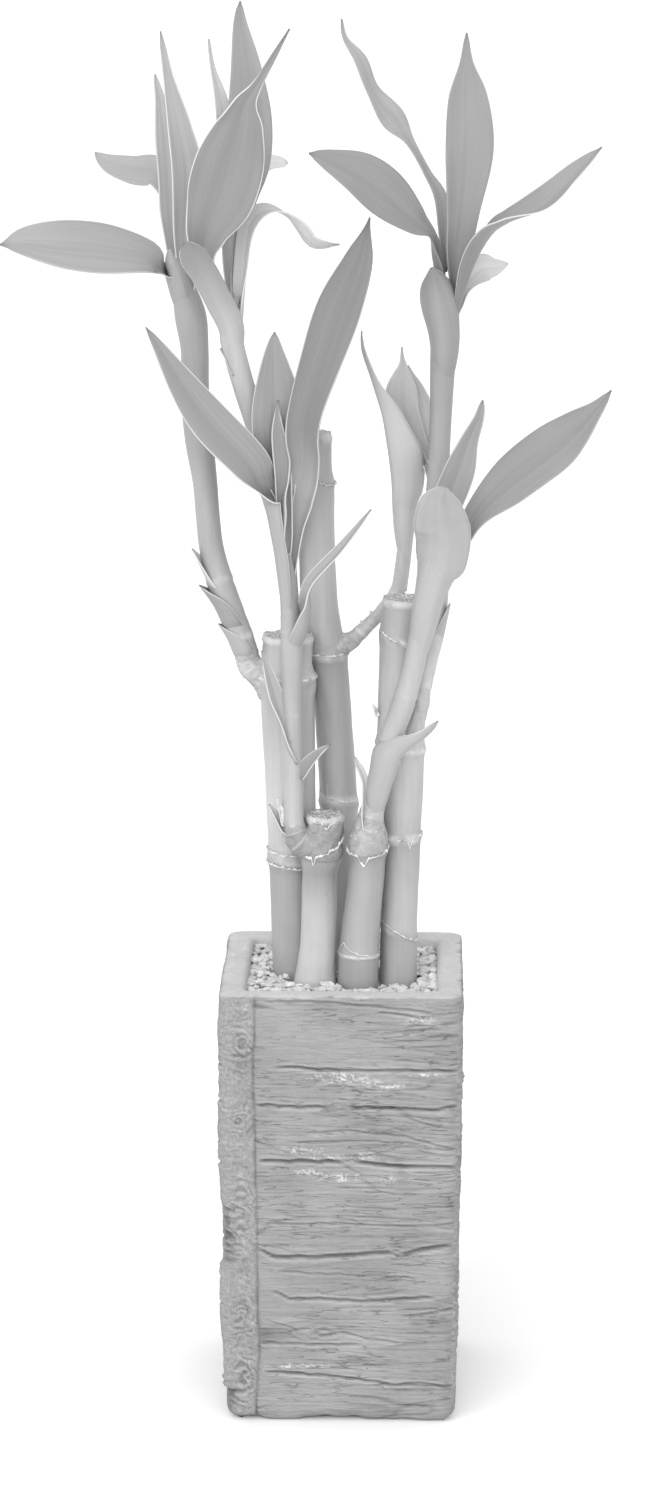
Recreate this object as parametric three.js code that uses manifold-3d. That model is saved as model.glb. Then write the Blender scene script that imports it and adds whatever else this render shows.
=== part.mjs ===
// Lucky bamboo in a square planter: five cut canes with six leafy shoots, standing in pale gravel.
// Millimetres, +Z up. The origin is the middle of the flat underside; the front of the planter faces -Y.
import * as THREE from 'three';
import { mergeVertices } from 'three/addons/utils/BufferGeometryUtils.js';
import Module from 'manifold-3d';

const wasm = await Module();
wasm.setup();

// Driving dimensions
const POT_WIDTH = 63.5;
const POT_HEIGHT = 120.65;
const WALL = 6.6;
const FLOOR_THICKNESS = 7;
const OUTER_CORNER = 3.5;
const INNER_CORNER = 3;
const GAP = 0.3;
const GRAVEL_TOP = 115.5;
const PEBBLE_RADIUS = 3.1;
const PEBBLES_PER_SIDE = 8;
const CANE_SIDES = 16;
const STEM_SIDES = 10;
const BRACT_COLUMNS = 4;
const BLADE_THICKNESS = 0.7;
const SHEATH_EXTRA = 0.5;
const KNUCKLE_END = 3.4;

// Planter relief: one post seam up each face and plank seams across the rest of it
const POST_WIDTH = 10;
const SEAM_HALF_WIDTH = 0.9;
const SEAM_DEPTH = 0.9;
const FOOT_INSET = 4;
const RIM_ROUND = 1.8;
const PLANK_DEPTH = 0.8;
// Height of each plank seam at the post and at the far corner
const PLANK_SEAMS = [
  [14.5, 10.5], [26, 22], [36, 34], [48, 50], [73.5, 72], [89.5, 89.5], [101, 99.5], [116.5, 115],
];

const MATERIALS = {
  planter: { color: 0xa9a9a9, roughness: 0.85, metalness: 0 },
  gravel: { color: 0xc6c6c6, roughness: 0.9, metalness: 0 },
  cane: { color: 0xb9b9b9, roughness: 0.5, metalness: 0 },
  shoot: { color: 0xafafaf, roughness: 0.45, metalness: 0 },
};

// Each cane, foot to cut top: [x, y, height, radius]
const CANES = {
  cane_1: [
    [-12, 1, 30, 6], [-12.9, 1, 117, 6.2], [-13.6, 1, 146, 6.5], [-13.7, 1, 147.5, 7],
    [-13.8, 1, 149.5, 6.6], [-14.2, 1, 165, 6.7], [-15, 1, 193.5, 7.2], [-15.5, 1, 197.5, 8],
    [-15.4, 1, 200.5, 8], [-15, 1, 203.5, 6.7], [-14.9, 1, 211.5, 6.7],
  ],
  cane_2: [
    [-8.5, -10, 30, 4.8], [-7.3, -10, 117, 5.2], [-6.4, -10, 129, 4.8], [-6.2, -10, 149, 4.7],
    [-5.8, -10, 152, 5.4], [-5.5, -10, 154.5, 5.8], [-4.9, -10, 157.5, 5.1], [-4.6, -10, 165, 4.9],
  ],
  cane_3: [
    [2, -11, 30, 5.4], [4.1, -11, 117, 5.5], [4.3, -11, 124, 5.5], [4.4, -11, 125.5, 6],
    [4.6, -11, 127.5, 5.4], [6.4, -11, 147, 5], [6.7, -11, 151.5, 5.6], [6.9, -11, 156, 5.6],
    [7, -11, 160, 4.6],
  ],
  cane_4: [
    [0.5, 7, 30, 5.2], [0, 7, 115, 5.2], [-0.4, 7.5, 136, 5.1], [-1.3, 8, 161.5, 5],
    [-1.4, 8, 163.5, 5.6], [-1.5, 8, 165.5, 5], [-3.2, 8.5, 192, 5], [-4.1, 9, 202.5, 5.1],
    [-4.2, 9, 204.5, 5.7], [-4.5, 9, 206.5, 5.1], [-7.3, 9, 229, 4.9], [-7.6, 9, 250.5, 4.9],
    [-7.4, 9, 252.5, 5.4], [-7.4, 9, 254.5, 4.8], [-7.5, 9, 265, 4.4],
  ],
  cane_5: [
    [14.5, -6, 30, 5], [15, -5, 117, 5.1], [15.1, -4.5, 129, 4.9], [15.1, -4.5, 130.5, 5.3],
    [15.1, -4.5, 132.5, 4.9], [15.9, -3.5, 155.5, 5], [16, -3.5, 157.5, 5.5],
    [15.9, -3.5, 159.5, 5.1], [15.6, -3, 173.5, 6], [15.2, -2.5, 180, 6.4], [15.2, -2.5, 182, 6.9],
    [15.4, -2.5, 184, 6.4], [15.7, -2, 196, 6.4], [15.6, -1, 208, 6.1], [15.6, -1, 210, 6.5],
    [15.7, -1, 212, 6], [15.9, 0, 222, 5.4],
  ],
};

// Knuckles of the canes: the shoot that each carries, a point inside the cane and the radius
const KNUCKLES = {
  cane_1: [{ shoot: 'shoot_low_left', from: [-17, 1, 196], radius: 3.5 },
    { shoot: 'shoot_centre_left', from: [-15, 4, 191], radius: 3 }],
  cane_2: [{ shoot: 'shoot_front_left', from: [-7, -10, 152.5], radius: 3.3 }],
  cane_4: [{ shoot: 'shoot_behind', from: [-3, 8.5, 204.5], radius: 2.7 }],
  cane_5: [{ shoot: 'shoot_right', from: [16, -3, 192], radius: 2.7 }],
};

// Shoots. A stem row is [x, y, height, radius].
// A leaf row is [x, y, height of the midrib, half width, turn, curl]. Turn is the way the upper face
// looks, in degrees about the midrib: 0 to the front, 90 to the right of an upright leaf, 180 to the back.
// Curl is the angle that each half of the blade bends round towards its upper face.
const SHOOTS = {
  shoot_low_left: {
    stem: [
      [-25.2, 1, 203.4, 3.2], [-27.3, 1, 210.5, 3.3], [-32.5, 2, 224, 3.6], [-35.2, 3, 234, 3.3],
      [-36.2, 3, 243, 3.2], [-37, 4, 252.5, 3.3], [-38.5, 4, 264, 3.8], [-39.5, 5, 276, 3.8],
      [-39.5, 5, 287, 3.7], [-40.5, 5, 296, 4.2], [-41.5, 5, 303, 3.2], [-42, 5, 309, 1.2],
    ],
    leaves: {
      reaching_left: {
        rows: 12,
        columns: 4,
        stations: [
          [-45, 4, 296, 3.8, 90, 100], [-46.3, 4, 303.5, 3.5, 85, 90],
          [-47.8, 2, 309.5, 2.8, 60, 55], [-52, 0, 312, 4.6, 45, 30],
          [-61.5, -4, 314.5, 7.3, 35, 15], [-72.5, -8, 316, 7, 35, 12],
          [-82.5, -10, 317, 4.2, 30, 15], [-89, -11, 316.5, 0.6, 30, 15],
        ],
      },
      narrow_left: {
        rows: 8,
        columns: 3,
        stations: [
          [-43.5, 8, 299, 3.7, 60, 90], [-45, 9, 310.5, 4.2, 50, 50], [-46, 10, 322, 4.1, 40, 35],
          [-46.5, 11, 330, 3.7, 35, 30], [-47.5, 13, 341.5, 3, 30, 25],
          [-48.7, 14, 352, 1.5, 25, 25], [-50, 15, 358.5, 0.4, 25, 20],
        ],
      },
      tall: {
        rows: 8,
        columns: 3,
        stations: [
          [-41.5, 5, 298, 3.7, 10, 90], [-41.5, 4, 309, 2.9, 0, 50], [-41.5, 3, 319, 3.4, 0, 35],
          [-41, 3, 334.5, 4.2, 0, 30], [-43, 4, 346, 3.2, 0, 25], [-46, 6, 359, 1.4, 0, 20],
          [-48, 8, 370, 0.4, 0, 15],
        ],
      },
      behind: {
        rows: 8,
        columns: 3,
        stations: [
          [-41, 8, 302.5, 1.6, 20, 60], [-43.5, 18, 318.5, 2.3, 20, 30],
          [-49, 25, 331, 4.2, 20, 20], [-57, 31, 332, 4, 25, 15], [-64, 36, 333.5, 2.6, 25, 12],
          [-68, 39, 336, 0.5, 25, 10],
        ],
      },
    },
    bracts: {
      lower: [
        [-28.9, 1, 204.5, 8, 90, 120], [-30.9, 1, 210, 6, 90, 95],
        [-33.4, 0.5, 214.5, 0.4, 90, 40],
      ],
      middle: [
        [-31.5, 1.2, 212, 8, 90, 120], [-34.5, 1, 219, 6, 90, 95], [-38.5, 0.5, 225, 0.4, 90, 40],
      ],
      upper: [
        [-35.2, 2, 223, 4.5, 80, 80], [-37.6, 1.6, 229, 3, 75, 60], [-40.4, 1, 234.7, 0.4, 75, 40],
      ],
    },
  },
  shoot_centre_left: {
    stem: [
      [-14, 12.8, 199.3, 2.6], [-14.5, 11.3, 211.5, 2.6], [-15, 6.5, 225.5, 2.5],
      [-16, 3, 238, 2.7], [-18.5, 1, 250.5, 2.8], [-22, -2, 265.5, 3], [-26, -4, 278.5, 2.9],
      [-29, -5, 290, 3], [-29.5, -5, 296, 3.3], [-30, -4, 303, 2.6], [-30.5, -3, 309, 1],
    ],
    leaves: {
      tongue: {
        rows: 8,
        columns: 4,
        stations: [
          [-29.5, -5.5, 291, 6.8, 180, 110], [-31.3, -8, 299.5, 5.8, 183, 90],
          [-33.6, -11, 305.5, 4.9, 186, 70], [-36.2, -14, 310.5, 4.1, 188, 50],
          [-38, -17, 314.5, 3.4, 190, 40], [-38.7, -19, 317, 2.2, 190, 35],
          [-39, -20, 318, 0.6, 190, 35],
        ],
      },
      broad_front: {
        rows: 13,
        columns: 4,
        stations: [
          [-30.5, -4, 297, 2.6, 0, 90], [-36, -5, 311, 3, 0, 60], [-35.5, -7, 319, 5.5, 0, 30],
          [-32, -9, 328, 8.7, 0, 14], [-29, -11, 338, 8.9, 0, 10], [-26.5, -13, 347, 6.3, 5, 12],
          [-25, -14, 353, 3.3, 10, 25], [-21.5, -15, 358.5, 1.3, 10, 25],
          [-13.5, -17, 372, 0.4, 0, 20],
        ],
      },
      curling: {
        rows: 14,
        columns: 3,
        stations: [
          [-27, -2, 298, 3.2, -60, 80], [-26.5, 0, 308.5, 3.2, -50, 45],
          [-25.5, 0, 317, 3.1, -45, 30], [-24, 0, 322, 3.1, -45, 20],
          [-20.5, -1, 324.5, 2.9, -60, 15], [-16, -2, 324, 2.2, -92, 10],
          [-11.5, -4, 320.5, 2.6, -130, 15], [-7.5, -6, 316.5, 3, -125, 20],
          [-1, -8, 316.5, 0.4, -120, 20],
        ],
      },
      tallest: {
        rows: 10,
        columns: 4,
        stations: [
          [-29, -2, 297, 2.9, 0, 90], [-27.5, 5, 310.5, 2.4, 5, 45], [-26.5, 8, 323.5, 2.6, 5, 25],
          [-25, 10, 335.5, 5.3, 5, 14], [-25, 12, 347.5, 5.8, 0, 12], [-26, 13, 360.5, 4, 0, 14],
          [-27.5, 14, 371.5, 1.9, 0, 16], [-27.5, 14, 377.5, 0.4, 0, 16],
        ],
      },
      thin: {
        rows: 8,
        columns: 2,
        stations: [
          [-30, -1, 298, 2.3, 20, 80], [-31, 10, 318.5, 1.9, 20, 40],
          [-31.5, 14, 339, 2.6, 20, 30], [-32.5, 16, 350.5, 2, 25, 25],
          [-35, 18, 360, 0.8, 40, 20], [-36, 18, 367.5, 0.4, 40, 20],
        ],
      },
      behind: {
        rows: 8,
        columns: 2,
        stations: [
          [-28, -1, 299, 2, 0, 60], [-28.5, 14, 318, 2.1, 0, 30], [-27, 24, 330.5, 2.6, -20, 20],
          [-21.5, 30, 334, 2.6, -40, 15], [-16, 34, 334, 1.2, -40, 12],
        ],
      },
    },
    bracts: {
      left: [
        [-28.6, -4.5, 277, 4.5, 80, 80], [-31, -5, 284.5, 3, 75, 60],
        [-32.8, -5.3, 291, 0.4, 75, 40],
      ],
    },
  },
  shoot_right: {
    stem: [
      [20.8, -9.9, 197.7, 2.3], [22.5, -8, 207, 2.7], [24.3, -4, 218.5, 3.2], [25, 0, 232, 3.1],
      [24.5, 1, 245.5, 3], [25, 1, 256, 2.9], [25.5, 1, 269.5, 2.9], [26, 1, 285.5, 3.4],
      [26.5, 1, 294.5, 3.8], [28, 1, 303, 3.1], [29, 1, 311, 1.2],
    ],
    leaves: {
      low_bract: {
        rows: 6,
        columns: 4,
        stations: [
          [26.5, -2.5, 288.5, 7.5, 180, 120], [25.5, -3.5, 299, 6.8, 182, 100],
          [24.5, -4.5, 305, 4.6, 184, 75], [24, -5.5, 310, 0.8, 184, 60],
        ],
      },
      broad_left: {
        rows: 12,
        columns: 4,
        stations: [
          [23.2, 1, 301, 6, 90, 100], [23, 0, 312, 4.2, 80, 90], [22.5, -2, 318.5, 1.9, 60, 50],
          [18.5, -6, 322.5, 3.9, 30, 22], [12, -11, 329, 6.3, 25, 14], [4.5, -15, 335, 6, 25, 12],
          [-3.5, -18, 339, 3, 25, 14], [-8.5, -20, 341, 0.4, 25, 14],
        ],
      },
      wavy: {
        rows: 14,
        columns: 3,
        stations: [
          [26.5, 4, 308, 2.2, 0, 80], [25.5, 7, 325.5, 1.9, 10, 40], [21.5, 9, 333.5, 1.3, 40, 20],
          [17, 10, 341.5, 1.4, 35, 12], [12.5, 11, 347.5, 3.3, 5, 14], [7, 12, 355, 2, 35, 16],
          [4, 12, 362.5, 1.7, 10, 16], [0, 13, 368, 0.7, 10, 16], [-1, 13, 373, 0.4, 10, 16],
        ],
      },
      upright: {
        rows: 10,
        columns: 4,
        stations: [
          [29, 3, 299.5, 3.1, 0, 95], [30, 1, 314.5, 3.8, 0, 55], [31, -1, 324.5, 4.4, 0, 30],
          [32.5, -3, 340.5, 6.3, 0, 16], [32, -4, 354, 5.1, 0, 12], [31.5, -5, 363, 1.8, 0, 14],
          [31.5, -6, 370.5, 0.4, 0, 14],
        ],
      },
      reaching_right: {
        rows: 12,
        columns: 4,
        stations: [
          [30.5, 1, 294.5, 3.7, -90, 110], [33.5, -2, 309.5, 4.5, -110, 90],
          [38, -6, 318.5, 5.7, -115, 70], [42.5, -9, 322.5, 5.3, -112, 55],
          [51.5, -12, 327.5, 4.5, -95, 45], [59, -15, 335, 3.2, -85, 35],
          [66, -18, 342.5, 0.5, -80, 25],
        ],
      },
      drooping: {
        rows: 7,
        columns: 3,
        stations: [
          [29, 2, 294, 2, -20, 90], [31, 6, 303, 2.2, -20, 40], [35.5, 10, 308, 4, -15, 22],
          [39.5, 13, 308.5, 2.4, -15, 20], [43, 16, 309, 0.5, -15, 15],
        ],
      },
      lower_left: {
        rows: 8,
        columns: 3,
        stations: [
          [24, 0, 245, 2.8, 20, 100], [22, 3.5, 255.7, 1.8, 20, 60], [19.5, 6.5, 263.2, 3, 15, 25],
          [15.5, 8, 272.4, 4.3, 10, 14], [15.5, 9, 279.9, 2.3, 10, 14],
          [15, 10, 286.5, 0.4, 10, 14],
        ],
      },
      lower_behind: {
        rows: 6,
        columns: 2,
        stations: [
          [24.5, 3, 253, 2.2, 10, 90], [22, 8, 262.6, 2.1, 10, 40], [20.5, 11, 271.6, 2.6, 10, 25],
          [19, 12, 277.1, 1.6, 10, 20], [18, 12, 280, 0.4, 10, 20],
        ],
      },
    },
    bracts: {
      base: [
        [24, -8.5, 204, 3.6, -120, 80], [26.5, -6.5, 213, 3.4, -110, 60],
        [28.3, -5.5, 221.5, 0.6, -100, 40],
      ],
    },
  },
  shoot_front_left: {
    stem: [
      [-13.3, -12, 158.3, 2.9], [-13.2, -12, 166, 2.9], [-13.2, -12, 176, 3],
      [-13.5, -11.5, 185.5, 2.9], [-13.5, -11.2, 196.5, 2.7], [-13.5, -11, 210, 2.9],
      [-14, -11, 223.5, 2.9], [-15, -11.5, 237, 3.2], [-14.5, -11.5, 246, 2.8],
      [-14, -11.5, 254, 1],
    ],
    leaves: {
      reaching_left: {
        rows: 12,
        columns: 4,
        stations: [
          [-16.8, -11.5, 230, 5, 110, 110], [-18.5, -12, 245, 6, 95, 90],
          [-21.5, -13, 254.5, 4.9, 60, 50], [-26, -14, 262, 5.6, 25, 25],
          [-34.5, -16, 271.5, 5.5, 15, 16], [-41.5, -18, 281.5, 3.9, 15, 16],
          [-48, -20, 292.5, 1.3, 15, 18], [-50.5, -21, 296.5, 0.4, 15, 18],
        ],
      },
      centre: {
        rows: 8,
        columns: 4,
        stations: [
          [-14.5, -9, 245.5, 4.2, 0, 90], [-16.5, -9, 258.5, 5, 0, 45],
          [-17.5, -9, 269, 6.4, 0, 18], [-17.5, -8, 278, 5.8, 0, 14], [-18, -7, 287.5, 3, 0, 14],
          [-18, -6, 293.5, 0.4, 0, 14],
        ],
      },
      young: {
        rows: 6,
        columns: 2,
        stations: [
          [-14.5, -12, 244.5, 2.5, 0, 90], [-15.5, -13, 257, 2.6, 0, 60],
          [-16.5, -13.5, 267.5, 2, 0, 40], [-17, -13.5, 276.5, 0.4, 0, 30],
        ],
      },
      reaching_right: {
        rows: 12,
        columns: 4,
        stations: [
          [-11.8, -12, 226, 4.6, -110, 120], [-10.5, -12, 241, 5.4, -95, 100],
          [-8, -12, 255.5, 7, -55, 65], [-9.5, -12, 267, 5.1, -25, 40],
          [-8.5, -12.5, 276, 4.9, -18, 26], [-6, -13, 285.5, 5.2, -10, 18],
          [-1, -14, 300.5, 6, -8, 12], [4, -16, 313, 3.9, -5, 14], [7, -18, 324.5, 0.4, -5, 16],
        ],
      },
      spike: {
        rows: 8,
        columns: 2,
        stations: [
          [-11.8, -12.5, 212.5, 3.6, -120, 100], [-10.5, -13.5, 221.5, 3.8, -80, 80],
          [-8, -15, 228.5, 2.6, -60, 60], [0, -17, 238.5, 1.7, -50, 50],
          [7.5, -19, 249, 0.4, -50, 40],
        ],
      },
    },
    bracts: {
      left: [
        [-13.5, -13.8, 179.5, 3, 80, 80], [-15.5, -13.8, 190, 2.1, 50, 60],
        [-18, -12.5, 198.5, 2.2, 30, 30], [-21.3, -11.5, 209.8, 0.4, 20, 15],
      ],
      right: [
        [-10.8, -13.5, 174, 2.6, -60, 70], [-8.5, -14, 182.5, 1.6, -60, 50],
        [-3.4, -15, 185, 0.4, -60, 30],
      ],
      foot: [
        [-15.5, -13, 160, 2.6, 60, 70], [-17.5, -13, 164.5, 1.6, 60, 50],
        [-19.5, -13, 168.3, 0.4, 60, 30],
      ],
    },
  },
  shoot_behind: {
    stem: [
      [3.4, 7.3, 209.2, 2.5], [5.9, 7.6, 211.4, 2.3], [9.3, 8.8, 214.4, 2.2],
      [12.6, 10, 218.5, 2.3], [14.4, 10.4, 222.6, 2.4], [15.4, 9.6, 229, 2.2], [15.6, 8, 236, 2],
      [15.6, 5.5, 243, 0.8],
    ],
    leaves: {
      tall: {
        rows: 12,
        columns: 3,
        stations: [
          [15, 11, 221.8, 5.4, 0, 125], [15.5, 9, 233.2, 3.6, 0, 95], [15.5, 6, 242.2, 3.8, 0, 65],
          [15.5, 2.5, 258.8, 4.8, 0, 35], [12, 1, 272.4, 2.8, 5, 30], [7, 2, 283.6, 1.5, 10, 30],
          [4.8, 3, 293.6, 0.4, 10, 20],
        ],
      },
    },
    bracts: {},
  },
  shoot_front_right: {
    stem: [
      [7.2, -11.8, 161.1, 2.9], [9.8, -13, 172.5, 2.6], [12.5, -14.5, 185.5, 2.9],
      [16, -15, 196, 3.1], [18.8, -15, 206.5, 2.9], [20.5, -15, 216, 3.2], [22, -15, 226.5, 3.2],
      [23.5, -14.5, 235, 2.4], [24.5, -14, 243, 1],
    ],
    leaves: {
      blunt_front: {
        rows: 10,
        columns: 4,
        stations: [
          [20, -16.5, 213.5, 6.6, 180, 120], [21.5, -17.5, 221.5, 6.4, 180, 100],
          [25, -20, 231, 8.1, 178, 60], [26.5, -24, 239, 7.8, 178, 40],
          [26, -29, 246, 7.4, 178, 38], [25, -34, 253, 5.4, 178, 42], [26.5, -37, 258, 1, 178, 45],
        ],
      },
      upright: {
        rows: 9,
        columns: 3,
        stations: [
          [23, -13, 229, 4.2, 0, 100], [25.5, -11, 242, 4.2, 0, 60], [27, -9.5, 248.5, 4.4, 0, 35],
          [30.5, -8, 257.5, 4.1, 0, 16], [33, -6, 265, 2.5, 5, 20], [35.5, -5, 271, 1.4, 5, 25],
          [36.5, -4, 275.5, 0.4, 0, 20],
        ],
      },
      reaching_right: {
        rows: 12,
        columns: 4,
        stations: [
          [25, -15, 226.5, 4.3, -60, 100], [31, -15.5, 238, 3.3, -50, 55],
          [35.5, -16, 247.5, 3.9, -35, 25], [44, -18, 256.5, 6.6, -30, 14],
          [54, -21, 265, 6.8, -30, 10], [60.5, -23, 271, 5.1, -30, 12],
          [65.5, -25, 276.5, 2.2, -30, 16], [69, -27, 281.5, 0.4, -30, 16],
        ],
      },
    },
    bracts: {
      wrapping: [
        [8, -13.8, 163.5, 4.5, 160, 90], [9.8, -15, 172, 4.5, 170, 90],
        [13, -16.3, 180, 4.2, 190, 80], [17, -17.5, 185, 3, 200, 65],
        [21, -18.5, 188, 1.6, 210, 45], [25.3, -20, 193, 0.4, 210, 30],
      ],
      left: [
        [5.6, -12.5, 163, 2.8, 120, 80], [6, -13, 170, 2.6, 100, 60],
        [3.3, -13.5, 181.5, 0.4, 70, 20],
      ],
    },
  },
};

// Closed mesh to solid and back

function toSolid(positions, indices) {
  const geometry = new THREE.BufferGeometry();
  geometry.setAttribute('position', new THREE.Float32BufferAttribute(positions, 3));
  geometry.setIndex(indices);
  return new wasm.Manifold(new wasm.Mesh({
    numProp: 3,
    vertProperties: geometry.attributes.position.array,
    triVerts: new Uint32Array(geometry.index.array),
  }));
}

function solidOf(geometry) {
  const bare = geometry.clone();
  bare.deleteAttribute('normal');
  bare.deleteAttribute('uv');
  const merged = mergeVertices(bare, 1e-4);
  return new wasm.Manifold(new wasm.Mesh({
    numProp: 3,
    vertProperties: new Float32Array(merged.attributes.position.array),
    triVerts: new Uint32Array(merged.index.array),
  }));
}

function geometryOf(solid) {
  const mesh = solid.getMesh();
  const geometry = new THREE.BufferGeometry();
  geometry.setAttribute('position', new THREE.Float32BufferAttribute(mesh.vertProperties, 3));
  geometry.setIndex(Array.from(mesh.triVerts));
  return geometry;
}

// Smooth value between the rows of a table; at runs from 0 at the first row to 1 at the last
function along(rows, at) {
  const place = at * (rows.length - 1);
  const index = Math.min(Math.floor(place), rows.length - 2);
  const t = place - index;
  const before = rows[Math.max(index - 1, 0)];
  const start = rows[index];
  const end = rows[index + 1];
  const after = rows[Math.min(index + 2, rows.length - 1)];
  return start.map((value, k) => {
    const slopeIn = (end[k] - before[k]) / 2;
    const slopeOut = (after[k] - value) / 2;
    const t2 = t * t;
    const t3 = t2 * t;
    return (2 * t3 - 3 * t2 + 1) * value + (t3 - 2 * t2 + t) * slopeIn
      + (3 * t2 - 2 * t3) * end[k] + (t3 - t2) * slopeOut;
  });
}

function directionAlong(rows, at) {
  const step = 0.004;
  const a = along(rows, Math.max(at - step, 0));
  const b = along(rows, Math.min(at + step, 1));
  return new THREE.Vector3(b[0] - a[0], b[1] - a[1], b[2] - a[2]).normalize();
}

// Triangles between closed rings of points, stacked upward and each run anticlockwise seen from above
function wallBetweenRings(steps, count) {
  const indices = [];
  for (let i = 0; i < steps; i++) {
    for (let j = 0; j < count; j++) {
      const a = i * count + j;
      const b = i * count + ((j + 1) % count);
      indices.push(a, b, b + count, a, b + count, a + count);
    }
  }
  return indices;
}

// Round stem or cane through its rows, with flat ends
function tube(rows, sides, steps) {
  const positions = [];
  const indices = [];
  const across = new THREE.Vector3();
  const back = new THREE.Vector3();
  for (let i = 0; i <= steps; i++) {
    const at = i / steps;
    const [x, y, z, radius] = along(rows, at);
    const direction = directionAlong(rows, at);
    across.crossVectors(new THREE.Vector3(0, 1, 0), direction).normalize();
    back.crossVectors(direction, across);
    for (let j = 0; j < sides; j++) {
      const angle = (2 * Math.PI * j) / sides;
      const c = radius * Math.cos(angle);
      const s = radius * Math.sin(angle);
      positions.push(
        x + c * across.x + s * back.x,
        y + c * across.y + s * back.y,
        z + c * across.z + s * back.z,
      );
    }
  }
  indices.push(...wallBetweenRings(steps, sides));
  for (let j = 1; j < sides - 1; j++) {
    const top = steps * sides;
    indices.push(0, j + 1, j, top, top + j, top + j + 1);
  }
  return toSolid(positions, indices);
}

// Straight-sided tube with one ring for each row, so that narrow rings stay sharp
function ringedTube(rows, sides) {
  return tube(rows, sides, rows.length - 1);
}

// Thick curved blade along a leaf's rows
function blade(stations, rows, columns) {
  const positions = [];
  const indices = [];
  const front = new THREE.Vector3(0, -1, 0);
  for (let i = 0; i <= rows; i++) {
    const at = i / rows;
    const [x, y, z, half, turn, curl] = along(stations, at);
    const direction = directionAlong(stations, at);
    const up = front.clone().addScaledVector(direction, -front.dot(direction)).normalize();
    up.applyAxisAngle(direction, THREE.MathUtils.degToRad(turn));
    const side = new THREE.Vector3().crossVectors(direction, up);
    const bend = THREE.MathUtils.degToRad(Math.max(curl, 2));
    const radius = Math.max(half, 0.3) / bend;
    const thickness = BLADE_THICKNESS + SHEATH_EXTRA * Math.min(1, Math.max(0, (curl - 50) / 50));
    for (let j = 0; j <= columns; j++) {
      const angle = bend * ((2 * j) / columns - 1);
      for (const offset of [thickness / 2, -thickness / 2]) {
        const sideways = (radius - offset) * Math.sin(angle);
        const upwards = radius - (radius - offset) * Math.cos(angle);
        positions.push(
          x + sideways * side.x + upwards * up.x,
          y + sideways * side.y + upwards * up.y,
          z + sideways * side.z + upwards * up.z,
        );
      }
    }
  }
  const point = (i, j) => 2 * (i * (columns + 1) + j);
  const quad = (a, b, c, d) => indices.push(a, b, c, a, c, d);
  for (let i = 0; i < rows; i++) {
    for (let j = 0; j < columns; j++) {
      const a = point(i, j);
      const b = point(i, j + 1);
      const c = point(i + 1, j + 1);
      const d = point(i + 1, j);
      quad(a, b, c, d);
      indices.push(a + 1, c + 1, b + 1, a + 1, d + 1, c + 1);
    }
    quad(point(i, 0), point(i + 1, 0), point(i + 1, 0) + 1, point(i, 0) + 1);
    quad(point(i + 1, columns), point(i, columns), point(i, columns) + 1, point(i + 1, columns) + 1);
  }
  for (let j = 0; j < columns; j++) {
    quad(point(0, j + 1), point(0, j), point(0, j) + 1, point(0, j + 1) + 1);
    quad(point(rows, j), point(rows, j + 1), point(rows, j + 1) + 1, point(rows, j) + 1);
  }
  return toSolid(positions, indices);
}

function shootSolid({ stem, leaves, bracts }) {
  let solid = tube(stem, STEM_SIDES, stem.length - 1);
  for (const { stations, rows, columns } of Object.values(leaves)) {
    solid = solid.add(blade(stations, rows, columns));
  }
  for (const stations of Object.values(bracts)) {
    solid = solid.add(blade(stations, 2 * (stations.length - 1), BRACT_COLUMNS));
  }
  return solid;
}

// Side stump of a cane that turns up to meet the foot of a shoot and stops just under it
function knuckle(stem, from, radius) {
  const foot = new THREE.Vector3(stem[0][0], stem[0][1], stem[0][2]);
  const direction = directionAlong(stem, 0);
  const under = (distance) => foot.clone().addScaledVector(direction, -distance).toArray();
  const centres = [from, under(KNUCKLE_END), under(KNUCKLE_END / 2), under(GAP)];
  return ringedTube(centres.map((centre) => [...centre, radius]), STEM_SIDES);
}

function caneSolid(name) {
  let solid = ringedTube(CANES[name], CANE_SIDES);
  for (const { shoot, from, radius } of KNUCKLES[name] ?? []) {
    solid = solid.add(knuckle(SHOOTS[shoot].stem, from, radius));
  }
  return solid;
}

// The cane's own shape, wider and deeper by the clearance, cut out of the gravel
function caneHole(name) {
  const rows = CANES[name].filter((row) => row[2] < 150).map(([x, y, z, radius]) => [x, y, z, radius + GAP]);
  rows[0][2] -= GAP;
  return ringedTube(rows, CANE_SIDES);
}

// Planter

// Points of one side, from its left corner to its right one: [place along the side, distance out]
function sidePoints(half, corner) {
  const straight = half - corner;
  const post = -half + POST_WIDTH;
  const flat = [-straight, post - SEAM_HALF_WIDTH, post, post + SEAM_HALF_WIDTH, 0, straight - 3, straight];
  const bend = corner * Math.sin(Math.PI / 8);
  const drop = corner * (1 - Math.cos(Math.PI / 8));
  return [
    [-straight - bend, half - drop],
    ...flat.map((place) => [place, half]),
    [straight + bend, half - drop],
  ];
}

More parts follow.
